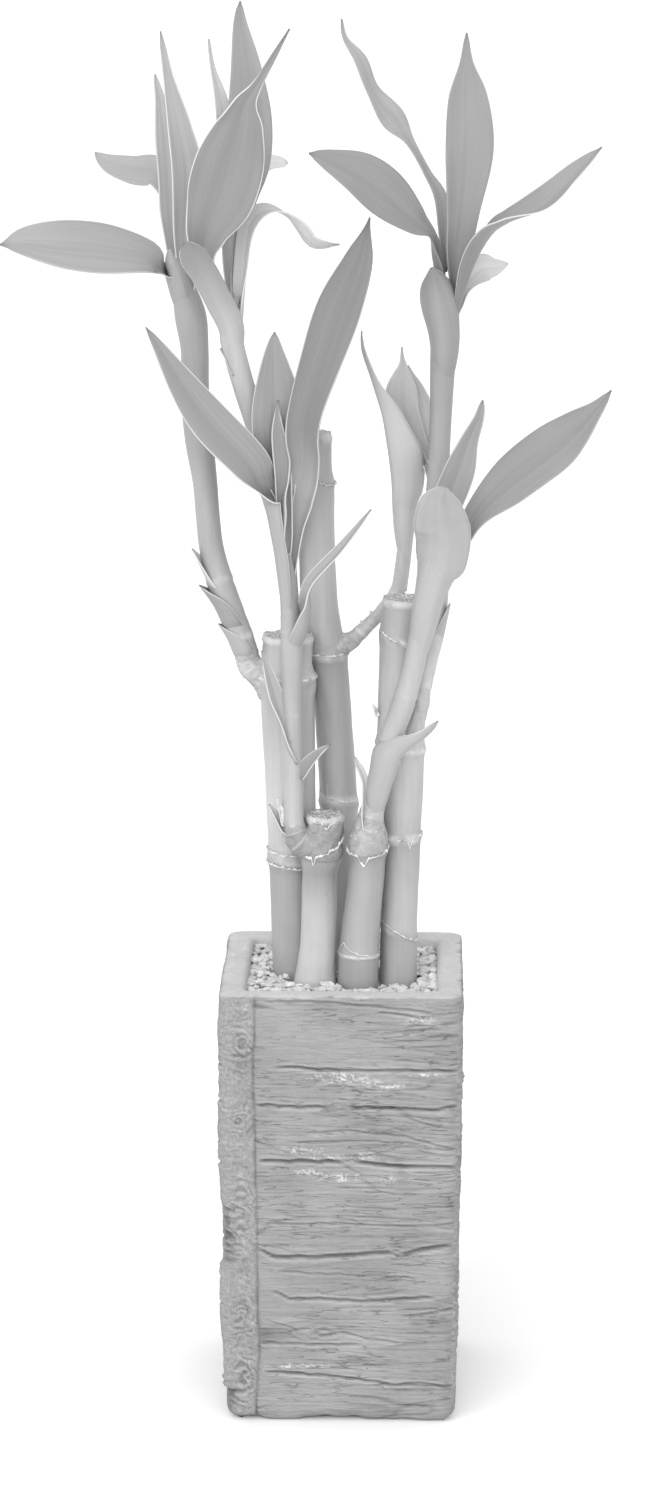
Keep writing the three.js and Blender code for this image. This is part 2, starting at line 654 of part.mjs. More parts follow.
// One level ring of the planter's skin, or one that follows a plank seam when a seam is given.
// A seam rises from its first height at the post to its second at the far corner.
function planterRing(half, corner, height, { postSeam = 0, plankSeam = 0, seam = null } = {}) {
  const ring = [];
  const outline = sidePoints(POT_WIDTH / 2, OUTER_CORNER);
  const post = -POT_WIDTH / 2 + POST_WIDTH;
  const corners = POT_WIDTH / 2 - OUTER_CORNER;
  for (let side = 0; side < 4; side++) {
    const turn = (side * Math.PI) / 2;
    sidePoints(half, corner).forEach(([across, out], k) => {
      const place = outline[k][0];
      const onPlanks = place > post + SEAM_HALF_WIDTH / 2 && place < corners + 0.01;
      const onPostSeam = Math.abs(place - post) < 0.01;
      const sunk = Math.max(onPostSeam ? postSeam : 0, onPlanks ? plankSeam : 0);
      const share = onPlanks || place > corners ? THREE.MathUtils.smoothstep(place, post, corners) : 0;
      const z = seam ? seam[0] + (seam[1] - seam[0]) * share : height;
      ring.push([
        across * Math.cos(turn) + (out - sunk) * Math.sin(turn),
        across * Math.sin(turn) - (out - sunk) * Math.cos(turn),
        z,
      ]);
    });
  }
  return ring;
}

function planterSolid() {
  const half = POT_WIDTH / 2;
  const inside = half - WALL;
  const rings = [
    planterRing(half - FOOT_INSET, 1.5, 0),
    planterRing(half - FOOT_INSET / 3, OUTER_CORNER, FOOT_INSET / 3),
    planterRing(half, OUTER_CORNER, FOOT_INSET, { postSeam: SEAM_DEPTH / 2 }),
  ];
  for (const [left, right] of PLANK_SEAMS) {
    const below = [left - SEAM_HALF_WIDTH, right - SEAM_HALF_WIDTH];
    const above = [left + SEAM_HALF_WIDTH, right + SEAM_HALF_WIDTH];
    rings.push(planterRing(half, OUTER_CORNER, 0, { postSeam: SEAM_DEPTH, seam: below }));
    const middle = { postSeam: SEAM_DEPTH, plankSeam: PLANK_DEPTH, seam: [left, right] };
    rings.push(planterRing(half, OUTER_CORNER, 0, middle));
    rings.push(planterRing(half, OUTER_CORNER, 0, { postSeam: SEAM_DEPTH, seam: above }));
  }
  rings.push(
    planterRing(half - RIM_ROUND / 4, OUTER_CORNER, POT_HEIGHT - RIM_ROUND / 2, { postSeam: SEAM_DEPTH / 2 }),
    planterRing(half - RIM_ROUND, OUTER_CORNER, POT_HEIGHT),
    planterRing(inside + RIM_ROUND / 2, INNER_CORNER, POT_HEIGHT),
    planterRing(inside, INNER_CORNER, POT_HEIGHT - RIM_ROUND / 2),
    planterRing(inside, INNER_CORNER, FLOOR_THICKNESS),
  );
  const count = rings[0].length;
  const last = (rings.length - 1) * count;
  const indices = wallBetweenRings(rings.length - 1, count);
  for (let j = 1; j < count - 1; j++) {
    indices.push(0, j + 1, j, last, last + j, last + j + 1);
  }
  return toSolid(rings.flat(2), indices);
}

// Gravel

function roundedSquare(half, corner, bottom, top) {
  const shape = new THREE.Shape();
  shape.moveTo(half - corner, -half);
  shape.absarc(half - corner, -half + corner, corner, -Math.PI / 2, 0);
  shape.absarc(half - corner, half - corner, corner, 0, Math.PI / 2);
  shape.absarc(-half + corner, half - corner, corner, Math.PI / 2, Math.PI);
  shape.absarc(-half + corner, -half + corner, corner, Math.PI, 1.5 * Math.PI);
  const options = { depth: top - bottom, bevelEnabled: false, curveSegments: 2 };
  const geometry = new THREE.ExtrudeGeometry(shape, options);
  geometry.translate(0, 0, bottom);
  return solidOf(geometry);
}

// Repeatable random numbers from 0 to 1
function seededRandom(seed) {
  let state = seed;
  return () => {
    state = (state * 1664525 + 1013904223) % 4294967296;
    return state / 4294967296;
  };
}

function pebble(x, y, random) {
  const geometry = new THREE.IcosahedronGeometry(1, 0);
  const size = PEBBLE_RADIUS * (0.85 + 0.35 * random());
  geometry.scale(size * (1 + 0.25 * random()), size, size * (0.6 + 0.2 * random()));
  geometry.rotateX(0.5 * (random() - 0.5));
  geometry.rotateZ(2 * Math.PI * random());
  geometry.translate(x, y, GRAVEL_TOP - 0.6 * random());
  return solidOf(geometry);
}

function gravelSolid() {
  const half = POT_WIDTH / 2 - WALL - GAP;
  const random = seededRandom(7);
  const pitch = (2 * half) / PEBBLES_PER_SIDE;
  let solid = roundedSquare(half, INNER_CORNER + 1, FLOOR_THICKNESS + GAP, GRAVEL_TOP);
  for (let i = 0; i < PEBBLES_PER_SIDE; i++) {
    for (let j = 0; j < PEBBLES_PER_SIDE; j++) {
      const x = -half + pitch * (i + 0.25 + 0.25 * (j % 2) + 0.4 * random());
      const y = -half + pitch * (j + 0.3 + 0.4 * random());
      solid = solid.add(pebble(x, y, random));
    }
  }
  solid = solid.intersect(roundedSquare(half, INNER_CORNER + 1, FLOOR_THICKNESS, POT_HEIGHT));
  for (const name of Object.keys(CANES)) {
    solid = solid.subtract(caneHole(name));
  }
  return solid;
}

// Largest piece of a solid, without loose scraps
function mainBody(solid) {
  const pieces = solid.decompose();
  pieces.sort((a, b) => b.volume() - a.volume());
  return pieces[0];
}

// Assembly

const plant = new THREE.Group();

function place(name, solid, finish) {
  const mesh = new THREE.Mesh(geometryOf(solid), new THREE.MeshStandardMaterial(MATERIALS[finish]));
  mesh.name = name;
  plant.add(mesh);
}

place('planter', planterSolid(), 'planter');
place('gravel', mainBody(gravelSolid()), 'gravel');
for (const name of Object.keys(CANES)) {
  place(name, caneSolid(name), 'cane');
}
for (const [name, shoot] of Object.entries(SHOOTS)) {
  place(name, mainBody(shootSolid(shoot)), 'shoot');
}

export default plant;
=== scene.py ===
"""Lucky bamboo in a square planter: the finished look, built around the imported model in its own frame.

The tables hold millimetres, +Z up, with the planter's front facing -Y. Everything that Blender gets is
in metres.
"""

import math

import bpy
import numpy as np
from mathutils import Matrix, Vector


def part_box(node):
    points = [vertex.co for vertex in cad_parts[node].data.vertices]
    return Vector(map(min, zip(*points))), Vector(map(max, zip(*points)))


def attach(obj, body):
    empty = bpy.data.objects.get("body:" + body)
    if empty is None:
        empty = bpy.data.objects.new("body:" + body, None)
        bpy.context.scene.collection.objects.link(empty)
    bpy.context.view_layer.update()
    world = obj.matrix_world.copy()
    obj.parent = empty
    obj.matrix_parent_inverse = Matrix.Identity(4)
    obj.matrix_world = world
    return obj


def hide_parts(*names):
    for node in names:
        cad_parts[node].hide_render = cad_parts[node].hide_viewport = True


bl_info = {
    "name": "Lucky bamboo in a square planter",
    "version": (1, 0, 0),
    "blender": (4, 5, 0),
    "location": "View3D > Sidebar > Plant",
    "description": "Planter, gravel, canes and leafy shoots of a small lucky bamboo",
    "category": "Object",
}

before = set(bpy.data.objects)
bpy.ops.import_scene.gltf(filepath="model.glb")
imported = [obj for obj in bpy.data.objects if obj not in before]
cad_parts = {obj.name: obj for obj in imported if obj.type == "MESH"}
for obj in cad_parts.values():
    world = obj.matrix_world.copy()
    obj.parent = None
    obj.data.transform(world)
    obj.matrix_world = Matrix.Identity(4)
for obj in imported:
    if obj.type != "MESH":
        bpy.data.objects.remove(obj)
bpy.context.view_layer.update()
PLANTER_LOW, PLANTER_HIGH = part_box("planter")

MM = 0.001
ROOT = "root"

# Canes: rows of [x, y, height, radius] along the middle, from inside the gravel to the top
CANES = {
  "cane_1": [
    [-12, 1, 30, 6], [-12.9, 1, 117, 6.2], [-13.6, 1, 147.6, 6.5], [-13.7, 1, 148.6, 7],
    [-13.8, 1, 152.6, 6.9], [-13.9, 1, 153.8, 6.5], [-14.2, 1, 165, 6.6], [-15, 1, 193.5, 7.2],
    [-15.5, 1, 197.5, 8], [-15.4, 1, 200.5, 8], [-15, 1, 203.5, 6.7], [-14.9, 1, 211.5, 6.7],
  ],
  "cane_2": [
    [-8.5, -10, 30, 4.8], [-7.5, -10, 117, 5.9], [-7.2, -10, 121.5, 5.2], [-6.4, -10, 129, 4.8],
    [-6.2, -10, 149, 4.7], [-5.8, -10, 152, 5.4], [-5.5, -10, 154.5, 5.8], [-4.9, -10, 157.5, 5.1],
    [-4.6, -10, 165, 4.9],
  ],
  "cane_3": [
    [2, -11, 30, 5.4], [4.1, -11, 117, 5.5], [4.3, -11, 125.4, 5.5], [4.4, -11, 126.6, 5.65],
    [4.5, -11, 128.6, 5.3], [4.6, -11, 129.8, 5.2], [6.4, -11, 147, 4.8], [6.6, -11, 153.4, 4.8],
    [6.7, -11, 154.8, 5.5], [6.9, -11, 158.5, 5.3], [7, -11.1, 161, 4.5], [7.1, -11.3, 163, 3.7],
  ],
  "cane_4": [
    [0.5, 7, 30, 5.2], [0, 7, 115, 5.2], [-0.4, 7.5, 136, 5.1], [-1.3, 8, 161.5, 5], [-1.4, 8, 163.5, 5.6],
    [-1.5, 8, 165.5, 5], [-3.2, 8.5, 192, 5], [-4.1, 9, 202.5, 5.1], [-4.2, 9, 204.5, 5.7],
    [-4.7, 9, 206.5, 5.1], [-6.6, 9, 216.7, 4.9], [-7.1, 9, 225, 4.9], [-7.4, 9, 232, 4.9],
    [-7.7, 9, 250.5, 4.9], [-7.5, 9, 252.5, 5.4], [-7.6, 9, 254, 4.6], [-7.7, 9, 256, 4.3],
    [-7.7, 9, 265, 4.3],
  ],
  "cane_5": [
    [14.5, -6, 30, 5], [15, -5, 117, 5.1], [15.1, -4.5, 130.2, 4.9], [15.1, -4.5, 131.7, 5.2],
    [15.1, -4.5, 133.5, 4.9], [15.9, -3.5, 155.5, 5], [16, -3.5, 157.5, 5.5], [15.9, -3.5, 159.5, 5.1],
    [15.6, -3, 173.5, 6], [15.2, -2.5, 180, 6.4], [15.2, -2.5, 182, 6.9], [15.4, -2.5, 184, 6.4],
    [15.7, -2, 196, 6.4], [15.6, -1, 208, 6.1], [15.6, -1, 210, 6.5], [15.7, -1, 212, 6],
    [15.9, 0, 222, 5.4],
  ],
}

# Side stumps of the canes that carry a shoot: rows of [x, y, height, radius] from inside the cane
# to inside the stem
KNUCKLES = {
  "cane_1": [
    [[-16, 1, 190, 3], [-18.5, 1, 196.5, 4.6], [-22, 1, 200.3, 3.9], [-25.2, 1, 203.4, 3.4],
      [-26.6, 1, 207.5, 2.5]],
    [[-15, 3, 188, 2], [-14.5, 7.5, 192.5, 3.2], [-14, 11, 196.6, 2.9], [-14, 12.8, 199.3, 2.7],
      [-14.1, 12.4, 203, 1.9]],
  ],
  "cane_2": [
    [[-5, -9.6, 154, 3], [-8.5, -10.8, 157, 4.4], [-12, -11.8, 159.2, 3.7], [-13.2, -12, 162.6, 3.1],
      [-13.2, -12, 167, 2.3]],
  ],
  "cane_3": [
    [[7, -11, 155, 4], [7, -11.1, 158.5, 4.9], [7.2, -11.4, 161.5, 4.2], [7.7, -11.8, 164.6, 3.4],
      [8.5, -12.3, 168.6, 2.9], [9.6, -12.9, 172.5, 2.1]],
  ],
  "cane_4": [
    [[-5, 8.8, 204.5, 3], [-1.5, 8.2, 207, 3.4], [1.4, 7.6, 208.4, 2.6], [3.4, 7.3, 210, 2.1],
      [6, 7.6, 212.6, 1.4]],
  ],
  "cane_5": [
    [[16.5, -4, 180, 1.6], [18.2, -6.6, 186, 2.4], [19.8, -8.8, 192.5, 2.5], [20.8, -9.9, 197.7, 2.5],
      [21.6, -9.2, 202, 1.7]],
  ],
}

# Shoots. A stem row is [x, y, height, radius].
# A leaf row is [x, y, height of the midrib, half width, turn, curl]. Turn is the way the upper face
# looks, in degrees about the midrib: 0 to the front, 90 to the right of an upright leaf, 180 to the back.
# Curl is the angle that each half of the blade bends round towards its upper face. A seventh number, if
# there is one, is the share of the curl that is a sharp fold along the midrib.
SHOOTS = {
  "shoot_low_left": {
    "stem": [
      [-25.2, 1, 203.4, 3.2], [-27.3, 1, 210.5, 3.3], [-32.5, 2, 224, 3.6], [-35.2, 3, 234, 3.3],
      [-36.2, 3, 243, 3.2], [-37, 4, 252.5, 3.3], [-38.5, 4, 264, 3.8], [-39.5, 5, 276, 3.8],
      [-39.5, 5, 287, 3.7], [-40.5, 5, 296, 4.2], [-42.3, 4.6, 303.5, 3.2], [-44, 4.3, 308.5, 2.6],
      [-45.2, 4, 311, 2], [-45.8, 4, 314, 0.6],
    ],
    "leaves": {
      "reaching_left": [
        [-43.5, 5, 289.9, 4.7, 92, 92], [-44.4, 5, 296.2, 5.9, 92, 92], [-45.9, 5, 302.3, 7.1, 92, 106],
        [-46.7, 5, 305.4, 6.2, 92, 106], [-47.2, 4.5, 307.2, 4.2, 90, 80], [-48.3, 2.6, 309, 2.3, 62, 42],
        [-51.2, 0, 311.8, 5.2, 44, 26], [-61.5, -4, 314.5, 7.3, 35, 15], [-72.5, -8, 316, 7, 35, 12],
        [-82.5, -10, 317, 4.2, 30, 15], [-89, -11, 316.5, 0.4, 30, 15],
      ],
      "narrow_left": [
        [-43.5, 8, 299, 3.7, 60, 90], [-45, 9, 310.5, 4.2, 50, 50], [-46, 10, 322, 4.1, 40, 35],
        [-46.5, 11, 330, 3.7, 35, 30], [-47.5, 13, 341.5, 3, 30, 25], [-48.7, 14, 352, 1.5, 25, 25],
        [-50, 15, 358.5, 0.4, 25, 20],
      ],
      "tall": [
        [-41.5, 5, 298, 3.7, 10, 90], [-41.5, 4, 309, 2.9, 0, 50], [-41.5, 3, 319, 3.4, 0, 35],
        [-41, 3, 334.5, 4.2, 0, 30], [-43, 4, 346, 3.2, 0, 25], [-46, 6, 359, 1.4, 0, 20],
        [-48, 8, 370, 0.4, 0, 15],
      ],
      "behind": [
        [-41, 8, 302.5, 1.6, 20, 60], [-43.5, 18, 318.5, 2.3, 20, 30], [-49, 25, 331, 4.2, 20, 20],
        [-57, 31, 332, 4, 25, 15], [-64, 36, 333.5, 2.6, 25, 12], [-68, 39, 336, 0.5, 25, 10],
      ],
    },
    "bracts": {
      "lower": [
        [-28.9, 1, 204.5, 8, 90, 120], [-30.9, 1, 210, 6, 90, 95], [-33.4, 0.5, 214.5, 0.4, 90, 40],
      ],
      "middle": [
        [-31.5, 1.2, 212, 8, 90, 120], [-34.5, 1, 219, 6, 90, 95], [-38.5, 0.5, 225, 0.4, 90, 40],
      ],
      "upper": [
        [-35.2, 2, 223, 4.5, 80, 80], [-37.6, 1.6, 229, 3, 75, 60], [-40.4, 1, 234.7, 0.4, 75, 40],
      ],
    },
  },
  "shoot_centre_left": {
    "stem": [
      [-14, 12.8, 199.3, 2.6], [-14.5, 11.3, 211.5, 2.6], [-15, 6.5, 225.5, 2.5], [-16, 3, 238, 2.7],
      [-18.5, 1, 250.5, 2.8], [-22, -2, 265.5, 3], [-26, -4, 278.5, 2.9], [-29, -5, 290, 3],
      [-29.3, -5, 293.5, 3], [-29.6, -4.8, 297, 2.2], [-29.8, -4.6, 300, 0.8],
    ],
    "leaves": {
      "tongue": [
        [-26.9, -6.7, 280, 5.9, 180, 130], [-28.5, -7.6, 288.5, 6, 180, 126],
        [-29.5, -8.6, 295.2, 5.6, 180, 95], [-32.3, -11, 302, 4.7, 183, 76],
        [-35.2, -14, 308.6, 4.4, 186, 66], [-37.6, -17, 312.9, 4.2, 188, 58],
        [-39.1, -19, 315.5, 3.1, 190, 52], [-40, -20, 317.1, 1.8, 190, 45],
        [-40.8, -20.6, 317.9, 0.3, 190, 40],
      ],
      "broad_front": [
        [-30.5, -4, 297, 2.6, 0, 90], [-36, -5, 311, 3, 0, 60], [-35.5, -7, 319, 5.5, 0, 30],
        [-32, -9, 328, 8.7, 0, 14], [-29, -11, 338, 8.9, 0, 10], [-26.5, -13, 347, 6.3, 5, 12],
        [-25, -14, 353, 3.3, 10, 25], [-21.5, -15, 358.5, 1.3, 10, 25], [-13.5, -17, 372, 0.4, 0, 20],
      ],
      "curling": [
        [-27.6, -3.6, 286, 1.2, -60, 60], [-27, -2.8, 292, 2.4, -60, 75], [-26.6, -2.2, 298, 3, -60, 75],
        [-26.3, 0, 308.5, 3.2, -50, 45], [-25.5, 0, 317, 3.1, -45, 30], [-24, 0, 322, 3.1, -45, 20],
        [-20.5, -1, 324.5, 2.9, -60, 15], [-16, -2, 324, 2.2, -92, 10], [-11.5, -4, 320.5, 2.6, -130, 15],
        [-7.5, -6, 316.5, 3, -125, 20], [-1, -8, 316.5, 0.4, -120, 20],
      ],
      "tallest": [
        [-29, -2, 297, 2.9, 0, 90], [-27.5, 5, 310.5, 2.4, 5, 45], [-26.5, 8, 323.5, 2.6, 5, 25],
        [-25, 10, 335.5, 5.3, 5, 14], [-25, 12, 347.5, 5.8, 0, 12], [-26, 13, 360.5, 4, 0, 14],
        [-27.5, 14, 371.5, 1.9, 0, 16], [-27.5, 14, 377.5, 0.4, 0, 16],
      ],
      "thin": [
        [-30, -1, 298, 2.3, 20, 80], [-31, 10, 318.5, 1.9, 20, 40], [-31.5, 14, 339, 2.6, 20, 30],
        [-32.5, 16, 350.5, 2, 25, 25], [-35, 18, 360, 0.8, 40, 20], [-36, 18, 367.5, 0.4, 40, 20],
      ],
      "behind": [
        [-28, -1, 299, 2, 0, 60], [-28.5, 14, 318, 2.1, 0, 30], [-27, 24, 330.5, 2.6, -20, 20],
        [-21.5, 30, 334, 2.6, -40, 15], [-16, 34, 334, 1.2, -40, 12],
      ],
    },
    "bracts": {
      "left": [
        [-29, -5.4, 282, 2, 60, 60], [-30.5, -5.6, 286, 1.2, 60, 45], [-31.5, -5.3, 287.9, 0.7, 60, 35],
        [-32.2, -5, 289, 0.3, 60, 25],
      ],
    },
  },
  "shoot_right": {
    "stem": [
      [20.8, -9.9, 197.7, 2.3], [22.5, -8, 207, 2.7], [24.3, -4, 218.5, 3.2], [25, 0, 232, 3.1],
      [24.5, 1, 245.5, 3], [25, 1, 256, 2.9], [25.5, 1, 269.5, 2.9], [26, 1, 285.5, 3.4],
      [26.5, 1, 293, 3.6], [27.4, 1, 299, 2.8], [28, 1, 303.5, 1],
    ],
    "leaves": {
      "low_bract": [
        [26, -1.8, 275, 6.8, 180, 140], [26.4, -2.8, 285, 7.8, 180, 135], [26.3, -3, 292, 8.2, 180, 118],
        [25.3, -3.8, 299, 8, 182, 98], [24.2, -4.8, 305, 5.2, 184, 74], [23.4, -5.5, 308.6, 2.2, 184, 62],
        [22.8, -5.8, 310.4, 0.3, 184, 60],
      ],
      "broad_left": [
        [23.2, 1, 301, 6, 90, 100], [23, 0, 312, 4.2, 80, 90], [22.5, -2, 318.5, 1.9, 60, 50],
        [18.5, -6, 322.5, 3.9, 30, 22], [12, -11, 329, 6.3, 25, 14], [4.5, -15, 335, 6, 25, 12],
        [-3.5, -18, 339, 3, 25, 14], [-8.5, -20, 341, 0.4, 25, 14],
      ],
      "wavy": [
        [26.5, 4, 308, 2.2, 0, 80], [25.5, 7, 325.5, 1.9, 10, 40], [21.5, 9, 333.5, 1.3, 40, 20],
        [17, 10, 341.5, 1.4, 35, 12], [12.5, 11, 347.5, 3.3, 5, 14], [7, 12, 355, 2, 35, 16],
        [4, 12, 362.5, 1.7, 10, 16], [0, 13, 368, 0.7, 10, 16], [-1, 13, 373, 0.4, 10, 16],
      ],
      "upright": [
        [29, 3, 299.5, 3.1, 0, 95], [30, 1, 314.5, 3.8, 0, 55], [31, -1, 324.5, 4.4, 0, 30],
        [32.5, -3, 340.5, 6.3, 0, 16], [32, -4, 354, 5.1, 0, 12], [31.5, -5, 363, 1.8, 0, 14],
        [31.5, -6, 370.5, 0.4, 0, 14],
      ],
      "reaching_right": [
        [30.5, 1, 294.5, 3.7, -90, 110], [33.5, -2, 309.5, 4.6, -105, 88], [38, -6, 318.5, 5.8, -100, 66],
        [42.5, -9, 322.5, 5.8, -85, 52], [51.5, -12, 327.5, 5.2, -62, 40], [59, -15, 335, 3.8, -56, 32],
        [66, -18, 342.5, 0.4, -60, 25],
      ],
      "drooping": [
        [29, 2, 294, 2, -20, 90], [31, 6, 303, 2.2, -20, 40], [35.5, 10, 308, 4, -15, 22],
        [39.5, 13, 308.5, 2.4, -15, 20], [43, 16, 309, 0.5, -15, 15],
      ],
      "lower_left": [
        [24.6, 1.6, 242, 1.1, 20, 70], [24, 3, 249, 1.1, 20, 50], [22.2, 5, 257, 1.7, 18, 34],
        [18.6, 6.8, 264.4, 2.9, 14, 24], [15.1, 8, 271.2, 4.6, 10, 16], [15, 8.5, 276.6, 4.2, 10, 14],
        [15.2, 9, 280.2, 2.6, 10, 14], [15.4, 9.4, 282.8, 1.2, 10, 14], [15.2, 9.8, 285.4, 0.45, 10, 14],
        [15.2, 10, 287.6, 0.25, 10, 14],
      ],
      "lower_behind": [
        [24.5, 3, 253, 2.2, 10, 90], [22, 8, 262.6, 2.1, 10, 40], [20.5, 11, 271.6, 2.6, 10, 25],
        [19, 12, 276.6, 1.8, 10, 20], [17.8, 12, 279.8, 0.8, 10, 20], [16.8, 12, 282.4, 0.2, 10, 20],
      ],
    },
    "bracts": {
      "base": [
        [24, -8.5, 204, 3.6, -120, 80], [26.5, -6.5, 213, 3.4, -110, 60],
        [28.3, -5.5, 221.5, 0.6, -100, 40],
      ],
    },
  },
  "shoot_front_left": {
    "stem": [
      [-13.3, -12, 158.3, 2.9], [-13.2, -12, 166, 2.9], [-13.2, -12, 176, 3], [-13.5, -11.5, 185.5, 2.9],
      [-13.5, -11.2, 196.5, 2.7], [-13.5, -11, 210, 2.9], [-13.9, -10.9, 219, 2.5],
      [-14.2, -10.8, 227, 2.1], [-14.4, -10.6, 236, 0.9],
    ],
    "leaves": {
      "reaching_left": [
        [-16.3, -11, 213, 5.4, 92, 108], [-16.8, -11.2, 222, 5.2, 92, 108],
        [-17.7, -11.5, 234.1, 4.9, 92, 110], [-18.8, -11.6, 240.8, 4.9, 92, 108],
        [-19.8, -11.8, 246.1, 5.6, 92, 106], [-20.8, -12, 249.6, 6.4, 90, 102],
        [-21.6, -13, 254, 5.4, 60, 52], [-25, -14, 260.6, 5.7, 27, 26], [-34.5, -16, 271.5, 5.5, 15, 16],
        [-41.5, -18, 281.5, 3.9, 15, 16], [-48, -20, 292.5, 1.3, 15, 18], [-50.5, -21, 296.5, 0.3, 15, 18],
      ],
      "centre": [
        [-14.5, -8, 245.5, 3.6, 0, 90], [-16.5, -7.5, 258.5, 5, 0, 45], [-17.5, -9, 269, 6.4, 0, 18],
        [-17.5, -8, 278, 5.8, 0, 14], [-18, -7, 287.5, 3, 0, 14], [-18, -6, 293.5, 0.4, 0, 14],
      ],
      "young": [
        [-14.3, -9.8, 230, 1.2, 0, 70], [-14.6, -10.6, 238, 1.8, 0, 70], [-15.2, -10.8, 246, 2.5, 0, 65],
        [-15.6, -11, 256.6, 2.5, 0, 50], [-16.2, -11, 263.2, 2.4, 0, 42], [-16.9, -11, 267.9, 1.8, 0, 36],
        [-17.1, -11.5, 272.5, 0.9, 0, 30], [-16.9, -12, 276.5, 0.3, 0, 20],
      ],
      "reaching_right": [
        [-15.2, -8.8, 221, 4.5, 25, 110], [-15.1, -8.8, 229.7, 4.4, 25, 110],
        [-14.7, -9.2, 240.4, 5.4, 28, 112], [-14.3, -9, 245.7, 6.6, 30, 112],
        [-13.3, -9, 250.2, 6.9, 25, 100], [-11.2, -9.5, 255.1, 5.6, 15, 80],
        [-10.2, -10.3, 260.5, 4.8, 5, 62], [-10.5, -11, 266.7, 4.8, -5, 46],
        [-9.5, -12, 273.9, 4.9, -10, 32], [-5.9, -13, 285.8, 5.5, -10, 18], [-1, -14, 300.5, 6, -8, 12],
        [4, -16, 313, 3.9, -5, 14], [7, -18, 324.5, 0.4, -5, 16],
      ],
      "spike": [
        [-10.9, -12.6, 209.5, 5.4, -120, 100], [-9.2, -13, 215.5, 5.2, -100, 96],
        [-8.4, -13.6, 221.4, 4.6, -80, 88], [-8, -15, 228.5, 2.6, -60, 60], [0, -17, 238.5, 1.7, -50, 50],
        [7.5, -19, 249, 0.3, -50, 40],
      ],
    },
    "bracts": {
      "left": [
        [-13.5, -13.8, 179.5, 3, 80, 80], [-15.5, -13.8, 190, 2.1, 50, 60],
        [-18, -12.5, 198.5, 2.2, 30, 30], [-21.3, -11.5, 209.8, 0.4, 20, 15],
      ],
      "right": [
        [-10.9, -13.6, 175.8, 2.2, -40, 60], [-9.6, -14.2, 178.8, 2.2, -40, 50],
        [-7.4, -14.6, 181.6, 1.7, -40, 45], [-5.4, -15, 183.6, 1, -40, 35],
        [-3.2, -15.4, 185.2, 0.3, -40, 30],
      ],
      "foot": [
        [-15.5, -13, 160, 2.6, 60, 70], [-17.5, -13, 164.5, 1.6, 60, 50], [-19.5, -13, 168.3, 0.4, 60, 30],
      ],
    },
  },
  "shoot_behind": {
    "stem": [
      [3.4, 7.3, 210, 2.1], [5.9, 7.6, 212.4, 1.9], [9.3, 8.8, 215.6, 1.8], [12.6, 10, 219.2, 2],
      [14.6, 10.4, 222.6, 2.1], [15.4, 9.8, 228, 2], [15.9, 9, 234, 1.7], [16, 8, 239, 0.6],
    ],
    "leaves": {
      "tall": [
        [13.78, 9.03, 222.01, 5.8, 122, 150, 0], [14.31, 8.54, 229.21, 5.72, 122, 150, 0],
        [13.72, 7.58, 237.49, 6.56, 122, 140, 0], [13.15, 6.37, 244.94, 7.54, 122, 125, 0.1],
        [12.93, 5.29, 248.01, 8.75, 122, 115, 0.2], [12.62, 3.85, 253.29, 9.51, 122, 105, 0.3],
        [11.97, 2.5, 259.22, 9.69, 122, 95, 0.3], [11.43, 1.92, 262.96, 8.35, 122, 88, 0.3],
        [10.22, 1.37, 270.37, 5.34, 122, 80, 0.3], [8.52, 1.23, 276.35, 2.93, 122, 70, 0.2],
        [7.15, 1.26, 280.64, 1.65, 122, 60, 0.2], [5, 1.66, 287.08, 1.06, 122, 50, 0.1],
        [4.59, 2.41, 290.31, 0.51, 122, 40, 0.1], [4.62, 3.06, 292.64, 0.14, 122, 30, 0],
      ],
    },
    "bracts": {},
  },
  "shoot_front_right": {
    "stem": [
      [7.2, -11.8, 161.1, 2.9], [9.8, -13, 172.5, 2.6], [12.5, -14.5, 185.5, 2.9], [16, -15, 196, 3.1],
      [18.8, -15, 206.5, 2.9], [20.4, -15, 215, 2.8], [21.8, -14.8, 224, 2.5], [22.8, -14.4, 231, 1.8],
      [23.4, -14, 237, 0.8],
    ],
    "leaves": {
      "blunt_front": [
        [17.36, -17.7, 200.67, 6.5, 179, 118], [20.01, -18.4, 211.58, 7.56, 179, 118],
        [21.21, -18.8, 217.29, 7.41, 179, 118], [22.23, -19.1, 222.95, 7.54, 179, 116],
        [23.63, -19.5, 228.36, 8.05, 179, 104], [24.4, -19.9, 231.09, 7.53, 179, 82],
        [25.11, -20.3, 233.03, 7.66, 179, 62], [25.72, -21, 235.28, 7.79, 179, 52],
        [26.21, -22.8, 239.57, 7.89, 179, 46], [26.16, -24.7, 243.08, 7.87, 179, 42],
        [25.78, -26.3, 245.72, 7.57, 179, 40], [25.44, -29, 249.33, 6.64, 179, 40],
        [25.29, -31.4, 252.61, 5.23, 179, 40], [25.73, -34, 255.39, 3.15, 179, 42],
        [26.27, -35.8, 257.25, 1.41, 179, 44], [26.57, -36.8, 258.33, 0.35, 179, 45],
      ],
      "upright": [
        [23, -13, 229, 4.2, 0, 100], [25.5, -11, 242, 4.2, 0, 60], [27, -9.5, 248.5, 4.4, 0, 35],
        [30.5, -8, 257.5, 4.1, 0, 16], [33, -6, 265, 2.5, 5, 20], [35.5, -5, 271, 1.4, 5, 25],
        [36.5, -4, 275.5, 0.4, 0, 20],
      ],
      "reaching_right": [
        [25, -15, 226.5, 4.3, -60, 100], [31, -15.5, 238, 3.3, -50, 55], [35.5, -16, 247.5, 3.9, -35, 25],
        [44, -18, 256.5, 6.6, -30, 14], [54, -21, 265, 6.8, -30, 10], [60.5, -23, 271, 5.1, -30, 12],
        [65.5, -25, 276.5, 2.2, -30, 16], [69, -27, 281.5, 0.4, -30, 16],
      ],
    },
    "bracts": {
      "wrapping": [
